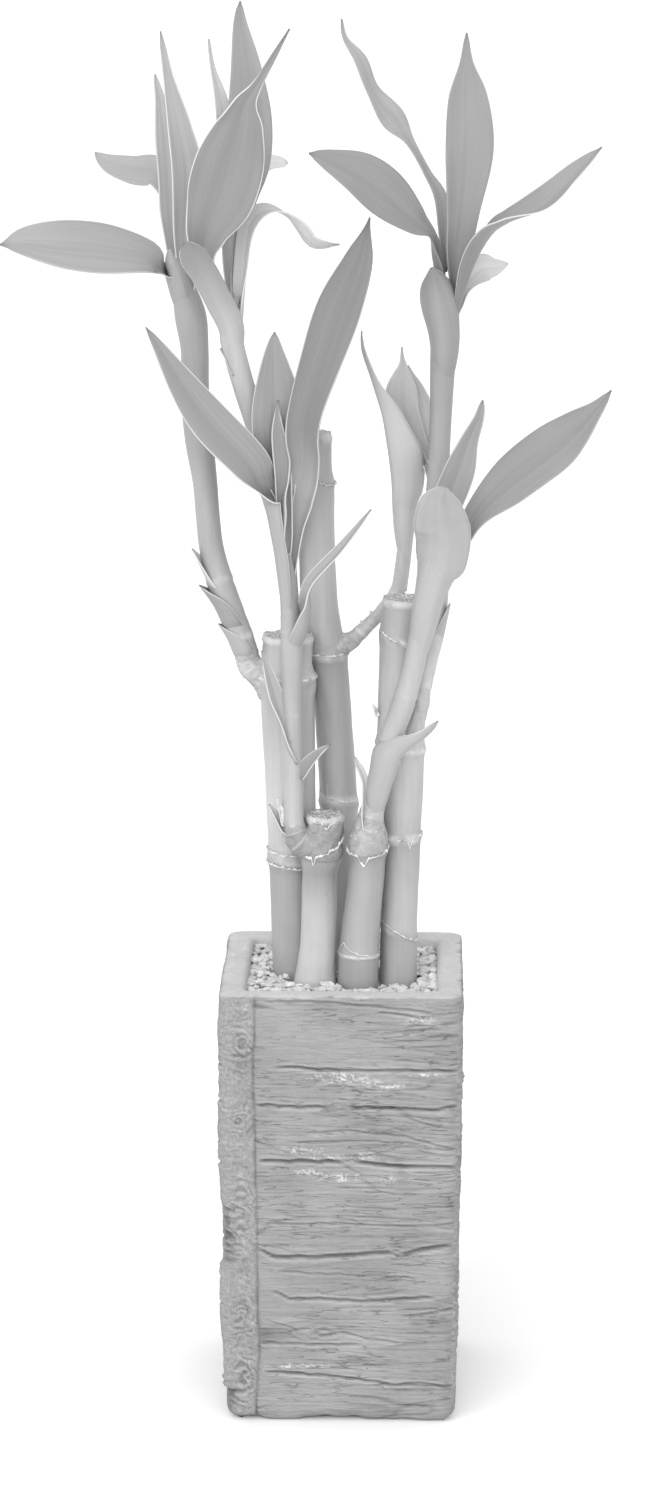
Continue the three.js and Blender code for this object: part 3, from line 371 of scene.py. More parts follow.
        [8, -14.8, 162.1, 4.6, 180, 105], [8.6, -15.6, 167, 5.6, 180, 112],
        [9.4, -16.8, 172.2, 6.2, 180, 112], [10.7, -18.2, 177.7, 6.7, 180, 110],
        [12.2, -19, 182.3, 6.8, 184, 98], [14.8, -18.8, 184.8, 4.2, 190, 80],
        [18.2, -18.8, 186.8, 2.2, 196, 60], [20.9, -19, 188.4, 1.5, 200, 45],
        [23.5, -19.6, 190.8, 1.1, 205, 35], [25.3, -20, 192.9, 0.3, 210, 30],
      ],
      "left": [
        [5.3, -13, 159.7, 2.4, 60, 80], [5.8, -13.8, 164.6, 2, 45, 60], [6.1, -14.6, 170.8, 1.4, 35, 45],
        [6.1, -14.6, 174.7, 1.1, 30, 35], [5.1, -14, 177.8, 1.1, 30, 30], [4.1, -13.4, 179.5, 0.8, 30, 30],
        [3.4, -13, 181.4, 0.2, 30, 30],
      ],
    },
  },
}


# Lightness of each cane as the camera sees it, by height, with light and shade painted in: lighter where
# the lamps leave a cane in shade, darker where shade falls on it: [height, lightness]
CANE_PAINTED_LIGHT = {
  "cane_1": [[100, 0.53], [148, 0.36], [149.5, 0.53], [165, 0.66], [185, 0.54], [200, 0.53], [202, 0.61],
    [212, 0.5]],
  "cane_2": [[100, 0.6], [125, 0.63], [140, 0.5], [149, 0.335], [153, 0.36], [160, 0.365], [165, 0.49]],
  "cane_3": [[100, 0.47], [126, 0.4], [128, 0.46], [147, 0.41], [153, 0.36], [156, 0.45], [163, 0.51]],
  "cane_4": [[100, 0.75], [162, 0.72], [166, 0.56], [203.5, 0.4], [205.5, 0.5], [228, 0.61], [250, 0.5],
    [253, 0.5], [265, 0.46]],
  "cane_5": [[100, 0.58], [131, 0.42], [133, 0.53], [156, 0.41], [160, 0.5], [181, 0.58], [184, 0.64],
    [209, 0.5], [212, 0.46], [222, 0.45]],
}

# Node lines of each cane: [height, slope to the right, strength]
CANE_NODES = {
  "cane_1": [[149.1, -0.03, 1], [152.3, -0.03, 0.8], [200.6, 0, 0.9]],
  "cane_2": [],
  "cane_3": [[126.7, -0.04, 0.9]],
  "cane_4": [[165.4, -0.08, 0.8], [204.9, 0, 1], [252.6, -0.2, 1]],
  "cane_5": [[131.9, -0.3, 0.9], [157, 0.03, 0.6], [158.3, 0.03, 1], [182, -0.15, 0.8],
    [210.7, -0.27, 0.9]],
}

# Rough brown parts of each cane: [lowest height, highest height, strength]
CANE_CRUST = {
  "cane_1": [[147.5, 153.5, 0.5], [198, 203, 0.5]],
  "cane_2": [[153.2, 165, 0.9]],
  "cane_3": [[154.5, 164, 0.8]],
  "cane_4": [[163.5, 168, 0.4], [204.5, 209, 0.35]],
  "cane_5": [[156, 159.5, 0.3], [180, 184.5, 0.4], [209.5, 212, 0.3]],
}

# Ragged dry rests of the old sheaths round the canes:
# [cane, [[angle, height of the lower edge], ...], height of the strip, stand-off].
# Angle 0 faces the front and 90 the right.
SHEATH_RESTS = [
  ["cane_1", [[-180, 149], [-60, 148.8], [-20, 148.6], [20, 148.2], [60, 148.2], [180, 149]], 0.55, 0.22],
  ["cane_1", [[-180, 152.2], [-60, 152.2], [20, 151.8], [180, 152.2]], 0.45, 0.2],
  ["cane_2", [[-120, 155.8], [-75, 154.4], [-42, 154], [-27, 153.8], [-20, 151.6], [-14, 154.2], [4, 154.8],
    [32, 156.1], [60, 157.3], [85, 158.8], [150, 160]], 0.7, 0.25],
  ["cane_2", [[-40, 163.6], [-12, 163.4], [8, 161.6], [22, 163.2], [50, 163.8]], 0.9, 0.12],
  ["cane_3", [[-180, 155.6], [-85, 155.8], [-55, 154.8], [-42, 155], [-28, 154.4], [-8, 151.6], [4, 154.2],
    [30, 154.6], [60, 155.4], [90, 156.4], [180, 155.6]], 0.7, 0.3],
  ["cane_5", [[-180, 157.4], [-70, 157.5], [14, 157.4], [24, 155], [32, 157.3], [90, 157.9], [180, 157.4]],
    0.5, 0.22],
  ["cane_5", [[-180, 131.6], [-60, 133.1], [0, 131.6], [60, 130.2], [180, 131.6]], 0.4, 0.18],
  ["cane_5", [[-180, 210.4], [-60, 211.9], [0, 210.4], [60, 208.9], [180, 210.4]], 0.4, 0.18],
  ["cane_4", [[-180, 204.7], [-60, 205], [-10, 204.8], [40, 205.1], [90, 204.8], [180, 204.7]], 0.5, 0.3],
  ["cane_4", [[-180, 253], [-60, 253.6], [-12, 253.2], [4, 251.9], [60, 251.8], [180, 253]], 0.5, 0.25],
  ["cane_3", [[-80, 127], [-68, 128.3], [-53, 130.4], [-42, 129.5], [-24, 128.3], [5, 127.5], [40, 127.1],
    [75, 126.9]], 0.26, 0.2],
  ["cane_1", [[-180, 200.4], [0, 200.2], [60, 200], [180, 200.4]], 0.5, 0.3],
  ["cane_4", [[-180, 165.2], [-60, 165.8], [-20, 165.2], [60, 164.6], [180, 165.2]], 0.45, 0.18],
]

# Small dry spikes left of old sheaths: rows of [x, y, height, half width, turn, curl] as for a leaf
SPIKES = [
  [[9.2, -5.5, 190.8, 0.7, 20, 50], [8.7, -5.8, 192.5, 0.5, 20, 40], [7.9, -6, 194.2, 0.2, 20, 20]],
  [[-3.6, 4.3, 165.6, 0.9, 10, 40], [-4.2, 4, 167.6, 0.6, 10, 30], [-4.6, 4, 169.6, 0.2, 10, 20]],
  [[-15.6, -13.4, 162.5, 1.3, 40, 60], [-16.2, -13.6, 166, 1, 40, 45], [-17.2, -13.6, 170, 0.2, 40, 20]],
  [[7.6, 7.4, 213.6, 0.6, 0, 50], [7.3, 7.2, 215.4, 0.4, 0, 35], [7, 7.2, 217, 0.2, 0, 20]],
  [[5.2, 7, 211.6, 0.5, 0, 50], [4.8, 6.8, 213, 0.35, 0, 35], [4.4, 6.8, 214.4, 0.2, 0, 20]],
]

# Look of each leaf and bract: [lightness as the camera sees it, strength of its pale margin]; the lightness
# has light and shade painted in, lighter where the lamps leave a leaf in shade and darker where shade falls
# on it
LEAF_LOOKS = {
  "shoot_low_left": {"reaching_left": [0.4, 0.5], "narrow_left": [0.59, 0.4], "tall": [0.42, 0.9],
    "behind": [0.44, 0.2], "lower": [0.46, 0.7], "middle": [0.35, 0.7], "upper": [0.6, 0.6]},
  "shoot_centre_left": {"tongue": [0.3, 0.9], "broad_front": [0.31, 1], "curling": [0.67, 0.6],
    "tallest": [0.36, 0.2], "thin": [0.63, 0.2], "behind": [0.9, 0], "left": [0.42, 0.4]},
  "shoot_right": {"low_bract": [0.23, 0.9], "broad_left": [0.33, 0.1], "wavy": [0.4, 0.2],
    "upright": [0.35, 0.2], "reaching_right": [0.4, 0.8], "drooping": [0.75, 0], "lower_left": [0.54, 0.6],
    "lower_behind": [0.62, 0.7], "base": [0.5, 0.8]},
  "shoot_front_left": {"reaching_left": [0.34, 0.8], "centre": [0.32, 0.8], "young": [0.33, 0.7],
    "reaching_right": [0.26, 0.6], "spike": [0.44, 0.7], "left": [0.44, 0.7], "right": [0.35, 0.6],
    "foot": [0.6, 0.3]},
  "shoot_behind": {"tall": [0.45, 0.7]},
  "shoot_front_right": {"blunt_front": [0.5, 0.9], "upright": [0.34, 0.5], "reaching_right": [0.32, 0.3],
    "wrapping": [0.48, 0.8], "left": [0.58, 0.6]},
}
# Lightness of each stem as the camera sees it, at its foot and at its top, with light and shade painted in:
# lighter where the lamps leave it in shade, darker where shade falls on it
STEM_PAINTED_LIGHTS = {
  "shoot_low_left": [0.45, 0.4], "shoot_centre_left": [0.56, 0.51], "shoot_right": [0.66, 0.23],
  "shoot_front_left": [0.53, 0.42], "shoot_behind": [0.58, 0.62], "shoot_front_right": [0.55, 0.44],
}
# Thin ring scars on the stems: [height, strength]
STEM_RINGS = {
  "shoot_low_left": [[204.6, 0.9], [206, 0.6], [210.8, 0.7], [217, 0.5], [226, 0.4]],
  "shoot_centre_left": [[214, 0.5], [232, 0.5], [268, 0.3]],
  "shoot_right": [[200, 0.6], [257.5, 0.5]],
  "shoot_front_left": [[160.5, 0.6], [163, 0.4], [192.6, 0.35], [215, 0.3]],
  "shoot_behind": [[211, 0.6], [217, 0.6], [221, 0.5]],
  "shoot_front_right": [[166, 0.4], [199, 0.3]],
}
# How much lighter the stage's lamps show a surface than its own colour
STAGE_GAIN = 1.32


# Settings

# What all colour settings have in common
GREY = {"min": 0, "max": 1, "size": 3, "subtype": "COLOR"}


class PlanterSettings(bpy.types.PropertyGroup):
    """Sizes and colour of the cast planter"""
    width: bpy.props.FloatProperty(
        name="Width", description="Outer width of the square planter",
        default=PLANTER_HIGH.x - PLANTER_LOW.x, min=0.02, max=0.3, unit="LENGTH")
    height: bpy.props.FloatProperty(
        name="Height", description="Height from the underside to the rim",
        default=PLANTER_HIGH.z, min=0.02, max=0.5, unit="LENGTH")
    wall: bpy.props.FloatProperty(
        name="Wall", description="Thickness of the wall at the rim",
        default=0.0064, min=0.002, max=0.02, unit="LENGTH")
    seam_depth: bpy.props.FloatProperty(
        name="Seam depth", description="Depth of the gaps between the cast planks",
        default=0.001, min=0, max=0.003, unit="LENGTH")
    grain_depth: bpy.props.FloatProperty(
        name="Grain depth", description="Depth of the weathered grain",
        default=0.00022, min=0, max=0.002, unit="LENGTH")
    colour: bpy.props.FloatVectorProperty(
        name="Colour", description="Colour of the cast planks",
        default=(0.288,) * 3, **GREY)
    # Paler than the planks: partly the smooth rim's own colour, partly painted light on the top and inside
    lit_rim_colour: bpy.props.FloatVectorProperty(
        name="Rim colour", description="Colour of the smooth rim and the inside",
        default=(0.54,) * 3, **GREY)


class GravelSettings(bpy.types.PropertyGroup):
    """Size, number and colour of the stones"""
    stone: bpy.props.FloatProperty(
        name="Stone size", description="Usual length of one stone",
        default=0.0032, min=0.001, max=0.02, unit="LENGTH")
    seed: bpy.props.IntProperty(
        name="Seed", description="Number that sets how the stones lie", default=11, min=0)
    colour: bpy.props.FloatVectorProperty(
        name="Colour", description="Colour of the stones",
        default=(0.68,) * 3, **GREY)


class CaneSettings(bpy.types.PropertyGroup):
    """Surface of the cut canes"""
    striation: bpy.props.FloatProperty(
        name="Striation", description="Depth of the fine lines along the bark",
        default=0.00004, min=0, max=0.001, precision=5, unit="LENGTH")
    scar_colour: bpy.props.FloatVectorProperty(
        name="Scar colour", description="Colour of the node scars and dry sheath rests",
        default=(0.72,) * 3, **GREY)
    cut_colour: bpy.props.FloatVectorProperty(
        name="Cut colour", description="Colour of the fibrous cut tops",
        default=(0.66,) * 3, **GREY)


class FoliageSettings(bpy.types.PropertyGroup):
    """Thickness and markings of the leaves"""
    thickness: bpy.props.FloatProperty(
        name="Leaf thickness", description="Thickness of a leaf blade",
        default=0.00034, min=0.0001, max=0.003, precision=5, unit="LENGTH")
    margin: bpy.props.FloatProperty(
        name="Margin width", description="Width of the pale line along a leaf's edge",
        default=0.0002, min=0, max=0.003, precision=5, unit="LENGTH")
    margin_colour: bpy.props.FloatVectorProperty(
        name="Margin colour", description="Colour of the pale line along a leaf's edge",
        default=(0.66,) * 3, **GREY)


class StageSettings(bpy.types.PropertyGroup):
    """Floor, light and camera"""
    floor_colour: bpy.props.FloatVectorProperty(
        name="Floor colour", description="Colour of the plain floor",
        default=(0.97,) * 3, **GREY)
    room_light: bpy.props.FloatProperty(
        name="Room light", description="Strength of the even light from all round",
        default=0.95, min=0, max=5)
    key_light: bpy.props.FloatProperty(
        name="Key light", description="Strength of the wide soft light from the front and above",
        default=2.03, min=0, max=50)
    key_width: bpy.props.FloatProperty(
        name="Key width", description="Angle that the soft light covers",
        default=math.radians(70), min=0.01, max=math.pi, subtype="ANGLE")
    lens: bpy.props.FloatProperty(
        name="Lens", description="Focal length of the camera in millimetres",
        default=96.43, min=10, max=400)


# Values along a table's rows

def along(rows, at):
    """Smooth values between the rows of a table; at runs from 0 at the first row to 1 at the last."""
    rows = np.array(rows, float)
    place = np.clip(np.asarray(at, float), 0, 1) * (len(rows) - 1)
    index = np.clip(np.floor(place).astype(int), 0, len(rows) - 2)
    t = (place - index)[:, None]
    before = rows[np.maximum(index - 1, 0)]
    start = rows[index]
    end = rows[index + 1]
    after = rows[np.minimum(index + 2, len(rows) - 1)]
    slope_in = (end - before) / 2
    slope_out = (after - start) / 2
    return ((2 * t**3 - 3 * t**2 + 1) * start + (t**3 - 2 * t**2 + t) * slope_in
            + (3 * t**2 - 2 * t**3) * end + (t**3 - t**2) * slope_out)


def unit(vectors):
    """The same directions, each one long."""
    return vectors / np.maximum(np.linalg.norm(vectors, axis=1, keepdims=True), 1e-9)


def direction_along(rows, at):
    """The way that the line through the rows runs."""
    step = 0.004
    ahead = along(rows, np.minimum(at + step, 1))[:, :3]
    return unit(ahead - along(rows, np.maximum(at - step, 0))[:, :3])


def length_of(rows):
    """Length of the line through the places of the rows."""
    return np.linalg.norm(np.diff(np.array(rows, float)[:, :3], axis=0), axis=1).sum()


def from_table(table, at):
    """Value in a table of [place, value] rows, straight between its rows."""
    return np.interp(at, *np.array(table, float).T)


def bell(away, width):
    """Bell curve: 1 where away is 0, and about a third at one width from there."""
    return np.exp(-((away / width) ** 2))


def smoothstep(low, high, value):
    """Rises smoothly from 0 at low to 1 at high."""
    t = np.clip((value - low) / (high - low), 0, 1)
    return t * t * (3 - 2 * t)


def wobble(u, v, seed):
    """Smooth noise from -1 to 1 over a plane, the same for the same seed; a wave is about a unit long."""
    table = np.random.default_rng(seed).uniform(-1, 1, (64, 64))
    u0, v0 = np.floor(u).astype(int), np.floor(v).astype(int)
    fu, fv = u - u0, v - v0
    fu, fv = fu * fu * (3 - 2 * fu), fv * fv * (3 - 2 * fv)
    a = table[u0 % 64, v0 % 64] * (1 - fu) + table[(u0 + 1) % 64, v0 % 64] * fu
    b = table[u0 % 64, (v0 + 1) % 64] * (1 - fu) + table[(u0 + 1) % 64, (v0 + 1) % 64] * fu
    return a * (1 - fv) + b * fv


def rough(u, v, seed, octaves):
    """Several sizes of the smooth noise together, each half as large as the one before and weaker."""
    total, weight = 0, 0
    for k in range(octaves):
        share = 0.55**k
        total = total + share * wobble(u * 2**k, v * 2**k, seed + k)
        weight += share
    return total / weight


# Meshes

def pick_only(*objects):
    """Selects these objects alone; the last one is active."""
    bpy.ops.object.select_all(action="DESELECT")
    for o in objects:
        o.select_set(True)
        bpy.context.view_layer.objects.active = o


def points_of(o):
    """Corners of a mesh."""
    points = np.zeros(len(o.data.vertices) * 3, np.float32)
    o.data.vertices.foreach_get("co", points)
    return points.reshape(-1, 3).astype(float)


def set_points(o, millimetres):
    """Moves the corners of a mesh, in millimetres, to their places in metres."""
    o.data.vertices.foreach_set("co", (millimetres * MM).astype(np.float32).ravel())
    o.data.update()


def keep_values(o, **values):
    """Keeps values at each corner, each under its name, for the materials."""
    for name, value in values.items():
        found = o.data.attributes.get(name) or o.data.attributes.new(name, "FLOAT", "POINT")
        found.data.foreach_set("value", np.broadcast_to(value, len(o.data.vertices)).astype(np.float32))


def attribute_values(o, name):
    """The values kept at the corners under a name."""
    values = np.zeros(len(o.data.vertices), np.float32)
    o.data.attributes[name].data.foreach_get("value", values)
    return values


def select_only(o, items, chosen, mode):
    """Selects the chosen ones of a mesh's edges or faces, in edit mode."""
    for others in (o.data.vertices, o.data.edges, o.data.polygons):
        others.foreach_set("select", np.zeros(len(others), bool))
    items.foreach_set("select", chosen)
    bpy.context.tool_settings.mesh_select_mode = mode
    bpy.ops.object.mode_set(mode="EDIT")


def select_edges(o, chosen):
    """Selects the edges for which chosen(ends) is true; ends holds both ends of each edge."""
    bpy.ops.object.mode_set(mode="OBJECT")
    edges = o.data.edges
    pairs = np.zeros(len(edges) * 2, np.int32)
    edges.foreach_get("vertices", pairs)
    ends = points_of(o)[pairs.reshape(-1, 2)]
    select_only(o, edges, chosen(ends), (False, True, False))


def select_faces(o, chosen):
    """Selects the faces for which chosen(centre, normal) is true."""
    bpy.ops.object.mode_set(mode="OBJECT")
    faces = o.data.polygons
    select_only(o, faces, [bool(chosen(f.center, f.normal)) for f in faces], (False, False, True))


def rise(ends):
    """How far each edge climbs from one end to the other."""
    return np.abs(ends[:, 0, 2] - ends[:, 1, 2])


def finish_piece(o, name, nodes, material=None):
    """Names the piece, smooths it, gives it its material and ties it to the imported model."""
    pick_only(o)
    o.name = name
    o.data.name = name
    bpy.ops.object.shade_smooth()
    if material:
        o.data.materials.clear()
        o.data.materials.append(material)
    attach(o, ROOT)
    if nodes:
        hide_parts(*nodes)


def join(pieces):
    """Joins the pieces into the last one."""
    pick_only(*pieces)
    bpy.ops.object.join()
    return bpy.context.view_layer.objects.active


def added(primitive, **values):
    """Adds a plain mesh, which becomes the only selected object."""
    bpy.ops.object.select_all(action="DESELECT")
    primitive(**values)
    return bpy.context.active_object


def block(half, low, high, corner, segments):
    """Square block between two heights, with its upright edges rounded."""
    o = added(bpy.ops.mesh.primitive_cube_add, size=1, location=(0, 0, (low + high) / 2),
              scale=(2 * half, 2 * half, high - low))
    bpy.ops.object.transform_apply(location=True, rotation=True, scale=True)
    select_edges(o, lambda ends: rise(ends) > 1)
    bpy.ops.mesh.bevel(offset=corner, segments=segments, affect="EDGES")
    return o


def cap_rings(count, **pivot):
    """Cuts the selected cap into even rings."""
    for k in range(count):
        share = 1 - 1 / (count + 1 - k)
        bpy.ops.mesh.extrude_region_move()
        bpy.ops.transform.resize(value=(share, share, 1), **pivot)


def strip(columns, rows):
    """Flat grid with its place across (-1 to 1) and along (0 to 1) for each vertex."""
    o = added(bpy.ops.mesh.primitive_grid_add, x_subdivisions=columns, y_subdivisions=rows, size=1)
    flat = points_of(o)
    return o, flat[:, 0] * 2, flat[:, 1] + 0.5


def thicken(o, thickness):
    """Gives a sheet its thickness, half to each side."""
    pick_only(o)
    wall = o.modifiers.new("thickness", "SOLIDIFY")
    wall.thickness = thickness
    wall.offset = 0
    wall.use_even_offset = False
    bpy.ops.object.modifier_apply(modifier=wall.name)
    return o


def round_bar(sides, rows, rings):
    """Upright cylinder with level rings and ringed caps, with the share of its radius, the angle and
    the height from 0 to 1 for each vertex."""
    o = added(bpy.ops.mesh.primitive_cylinder_add, vertices=sides, radius=1, depth=2, end_fill_type="NGON")
    select_edges(o, lambda ends: rise(ends) > 1)
    bpy.ops.mesh.subdivide(number_cuts=rows - 1)
    for end in (-1, 1):
        select_faces(o, lambda centre, normal: normal.z * end > 0.9)
        cap_rings(rings)
        bpy.ops.mesh.poke()
    bpy.ops.object.mode_set(mode="OBJECT")
    shape = points_of(o)
    share = np.hypot(shape[:, 0], shape[:, 1])
    return o, share, np.arctan2(shape[:, 1], shape[:, 0]), (shape[:, 2] + 1) / 2


# Materials

BARK = "cane_bark"
SHADER = "Principled BSDF"


def new_material(name, roughness, specular):
    """Material with its node tree."""
    material = bpy.data.materials.new(name)
    material.use_nodes = True
    inputs = material.node_tree.nodes[SHADER].inputs
    inputs["Roughness"].default_value = roughness
    inputs["Specular IOR Level"].default_value = specular
    return material, material.node_tree


def add_node(tree, kind, links=None, **values):
    """Adds a node; values set its properties, links feed its inputs with sockets or plain values."""
    node = tree.nodes.new(kind)
    for key, value in values.items():
        setattr(node, key, value)
    for key, value in (links or {}).items():
        if isinstance(value, bpy.types.NodeSocket):
            tree.links.new(value, node.inputs[key])
        else:
            node.inputs[key].default_value = value
    return node


def object_place(tree, waves):
    """Object coordinates in a pattern's own stretch, in waves per metre each way."""
    place = add_node(tree, "ShaderNodeTexCoord").outputs["Object"]
    return add_node(tree, "ShaderNodeMapping", {"Vector": place, "Scale": waves}).outputs[0]


def noise(tree, place, detail=4.0, roughness=0.55, distortion=0.0):
    """Soft noise over a place, or over the object where place holds waves per metre each way."""
    if isinstance(place, tuple):
        place = object_place(tree, place)
    links = {"Vector": place, "Scale": 1.0, "Detail": detail, "Roughness": roughness,
             "Distortion": distortion}
    return add_node(tree, "ShaderNodeTexNoise", links).outputs["Fac"]


def attribute(tree, name):
    """The value that each corner keeps under a name."""
    return add_node(tree, "ShaderNodeAttribute", attribute_name=name).outputs["Fac"]


def span(tree, value, low, high, to_low=0.0, to_high=1.0):
    """A value's span from low to high, stretched to another span and held at its ends."""
    links = {"Value": value, "From Min": low, "From Max": high, "To Min": to_low, "To Max": to_high}
    return add_node(tree, "ShaderNodeMapRange", links).outputs[0]


def streaked(tree, pattern, darkest, lightest):
    """Tone that follows a noise pattern."""
    return span(tree, pattern, 0.3, 0.7, darkest, lightest)


def maths(tree, operation, a, b=0.0):
    """Result of one sum on one or two values."""
    return add_node(tree, "ShaderNodeMath", {0: a, 1: b}, operation=operation).outputs[0]


def product(tree, *factors):
    """All factors multiplied."""
    total = factors[0]
    for factor in factors[1:]:
        total = maths(tree, "MULTIPLY", total, factor)
    return total


def blend(tree, share, a, b):
    """Value a where the share is 0 and b where it is 1."""
    return add_node(tree, "ShaderNodeMix", {"Factor": share, 2: a, 3: b}).outputs[0]


def blend_colour(tree, share, a, b, mode="MIX"):
    """Colour a where the share is 0 and b where it is 1."""
    links = {"Factor": share, 6: a, 7: b}
    return add_node(tree, "ShaderNodeMix", links, data_type="RGBA", blend_type=mode).outputs[2]


def grey(tree, tone):
    """Grey of a tone's lightness."""
    return add_node(tree, "ShaderNodeCombineColor", {0: tone, 1: tone, 2: tone}).outputs[0]


def shaded(tree, colour, tone):
    """A colour made lighter or darker by a tone."""
    return blend_colour(tree, 1.0, (*colour, 1), grey(tree, tone), "MULTIPLY")


def thin_lines(tree, pattern, width):
    """Thin lines, 1 in their middle, where a noise passes its middle value."""
    return span(tree, maths(tree, "ABSOLUTE", maths(tree, "SUBTRACT", pattern, 0.5)), 0.0, width, 1.0, 0.0)


def finish_surface(material, colour, height, distance, strength):
    """Gives a material its colour and the bumps of a height pattern."""
    tree = material.node_tree
    inputs = tree.nodes[SHADER].inputs
    tree.links.new(colour, inputs["Base Color"])
    bumps = add_node(tree, "ShaderNodeBump", {"Height": height, "Distance": distance, "Strength": strength})
    tree.links.new(bumps.outputs[0], inputs["Normal"])
    return material


CHIP_COLOUR = (0.72,) * 3


def cast_material(settings):
    """Weathered cast planks: lighter ridges, dark cracks, fine pits and pale chips, painted shade in the
    seams and hollows, and a smooth rim and inside made paler partly by painted light.
    """
    material, tree = new_material("weathered_cast", 0.85, 0.3)
    post = attribute(tree, "post")
    rim = attribute(tree, "rim")
    grain = noise(tree, (90, 90, 1700), detail=5, roughness=0.62)
    dashes = noise(tree, (260, 260, 2900), detail=3, roughness=0.7)
    cracks = thin_lines(tree, noise(tree, (40, 40, 520), detail=3, distortion=0.4), 0.008)
    swirl = noise(tree, (210, 210, 120), detail=2, distortion=1.6)
    rings = maths(tree, "SINE", maths(tree, "MULTIPLY", swirl, 62.0))
    crumbs = noise(tree, (900, 900, 1100), detail=5, roughness=0.7)
    blotch = noise(tree, (70, 70, 90))
    rough_parts = span(tree, noise(tree, (45, 45, 110), detail=2), 0.42, 0.58, 0.3, 1.0)
    pits = noise(tree, (1500, 1500, 1900), detail=2)
    plank_tone = product(tree, streaked(tree, grain, 0.93, 1.06), span(tree, dashes, 0.32, 0.68, 0.9, 1.09),
                         maths(tree, "SUBTRACT", 1.0, product(tree, cracks, rough_parts, 0.3)))
    post_tone = product(tree, span(tree, rings, -1.0, 1.0, 0.9, 1.09),
                        span(tree, crumbs, 0.35, 0.65, 0.88, 1.12))
    tone = blend(tree, post, plank_tone, post_tone)
    tone = product(tree, tone, streaked(tree, blotch, 0.95, 1.04), streaked(tree, pits, 0.96, 1.04),
                   # darker where the relief sinks: painted shade in the seams, cracks and hollows
                   span(tree, attribute(tree, "relief"), -1.0, 0.2, 0.5, 1.06),
                   # lighter on ridges and darker in hollows, the darkening as painted shade
                   span(tree, attribute(tree, "worn"), -1.0, 1.0, 0.76, 1.2))
    base = shaded(tree, settings.colour, tone)
    chips = product(tree, attribute(tree, "chips"), span(tree, pits, 0.45, 0.56))
    rim_tone = product(tree, streaked(tree, crumbs, 0.9, 1.07), span(tree, blotch, 0.35, 0.65, 0.92, 1.05))
    # the rim and the inside take the paler colour, partly painted light
    base = blend_colour(tree, rim, base, shaded(tree, settings.lit_rim_colour, rim_tone))
    base = blend_colour(tree, chips, base, (*CHIP_COLOUR, 1))
    plank_height = maths(tree, "SUBTRACT", product(tree, grain, rough_parts),
                         product(tree, cracks, rough_parts, 0.6))
    post_height = maths(tree, "ADD", crumbs, maths(tree, "MULTIPLY", rings, 0.12))
    height = blend(tree, post, plank_height, post_height)
    height = product(tree, height, span(tree, rim, 0.0, 1.0, 1.0, 0.25))
    height = maths(tree, "ADD", height, maths(tree, "MULTIPLY", pits, 0.2))
    return finish_surface(material, base, height, 0.00038, 0.9)


def stone_material(colour):
    """Pale crushed stone; each stone has its own lightness."""
    material, tree = new_material("pale_stone", 0.75, 0.4)
    speck = noise(tree, (900, 900, 900), detail=5)
    base = shaded(tree, colour, product(tree, attribute(tree, "light"), streaked(tree, speck, 0.88, 1.08)))
    return finish_surface(material, base, speck, 0.0003, 0.5)


def bark_material(settings):
    """Smooth living bark with fine lines along it, soft blotches, pale scars and rough brown parts."""
    material, tree = new_material(BARK, 0.42, 0.45)
    crust = attribute(tree, "crust")
    lines = noise(tree, (1100, 1100, 22))
    bands = noise(tree, (260, 260, 14), detail=2)
    blotch = noise(tree, (120, 120, 65), detail=5)
    specks = noise(tree, (520, 520, 330), detail=2)
    scales = noise(tree, (420, 420, 520), detail=5, roughness=0.62, distortion=0.5)
    # the light value of each corner holds painted light and shade
    tone = product(tree, attribute(tree, "light"), streaked(tree, lines, 0.965, 1.03),
                   streaked(tree, bands, 0.94, 1.05), span(tree, blotch, 0.3, 0.72, 0.93, 1.05),
                   span(tree, specks, 0.74, 0.8, 1.0, 0.82))
    rough_tone = span(tree, scales, 0.36, 0.64, 0.74, 1.16)
    tone = blend(tree, crust, tone, product(tree, tone, rough_tone))
    scar = product(tree, attribute(tree, "scar"), span(tree, scales, 0.3, 0.5, 0.7, 1.0))
    base = blend_colour(tree, scar, grey(tree, tone), (*settings.scar_colour, 1))
    tree.links.new(span(tree, crust, 0.0, 1.0, 0.42, 0.75), tree.nodes[SHADER].inputs["Roughness"])
    height = maths(tree, "ADD", maths(tree, "MULTIPLY", lines, settings.striation * 1000),
                   product(tree, scales, crust, 0.8))
    return finish_surface(material, base, height, 0.001, 0.9)


def cut_material(colour):
    """End grain of a cut cane: dotted with pale fibre ends and dark pores."""
    material, tree = new_material("cut_fibre", 0.8, 0.2)
    place = object_place(tree, (1500, 1500, 500))
    fibres = add_node(tree, "ShaderNodeTexVoronoi", {"Vector": place, "Scale": 1.0}).outputs["Distance"]
    soft = noise(tree, (800, 800, 800), detail=5, roughness=0.7)
    tone = product(tree, span(tree, fibres, 0.1, 0.6, 1.3, 0.75), span(tree, soft, 0.35, 0.65, 0.75, 1.2))
    height = maths(tree, "ADD", fibres, soft)
    return finish_surface(material, shaded(tree, colour, tone), height, 0.0006, 0.9)


def dry_material(colour):
    """Papery dry sheath: pale, streaked and dull, with darker breaks."""
    material, tree = new_material("dry_sheath", 0.75, 0.25)
    streaks = noise(tree, (1500, 1500, 160), detail=5)
    breaks = noise(tree, (420, 420, 420), detail=3)
    tone = product(tree, streaked(tree, streaks, 0.8, 1.12), span(tree, breaks, 0.38, 0.6, 0.62, 1.05))
    return finish_surface(material, shaded(tree, colour, tone), streaks, 0.0002, 0.8)


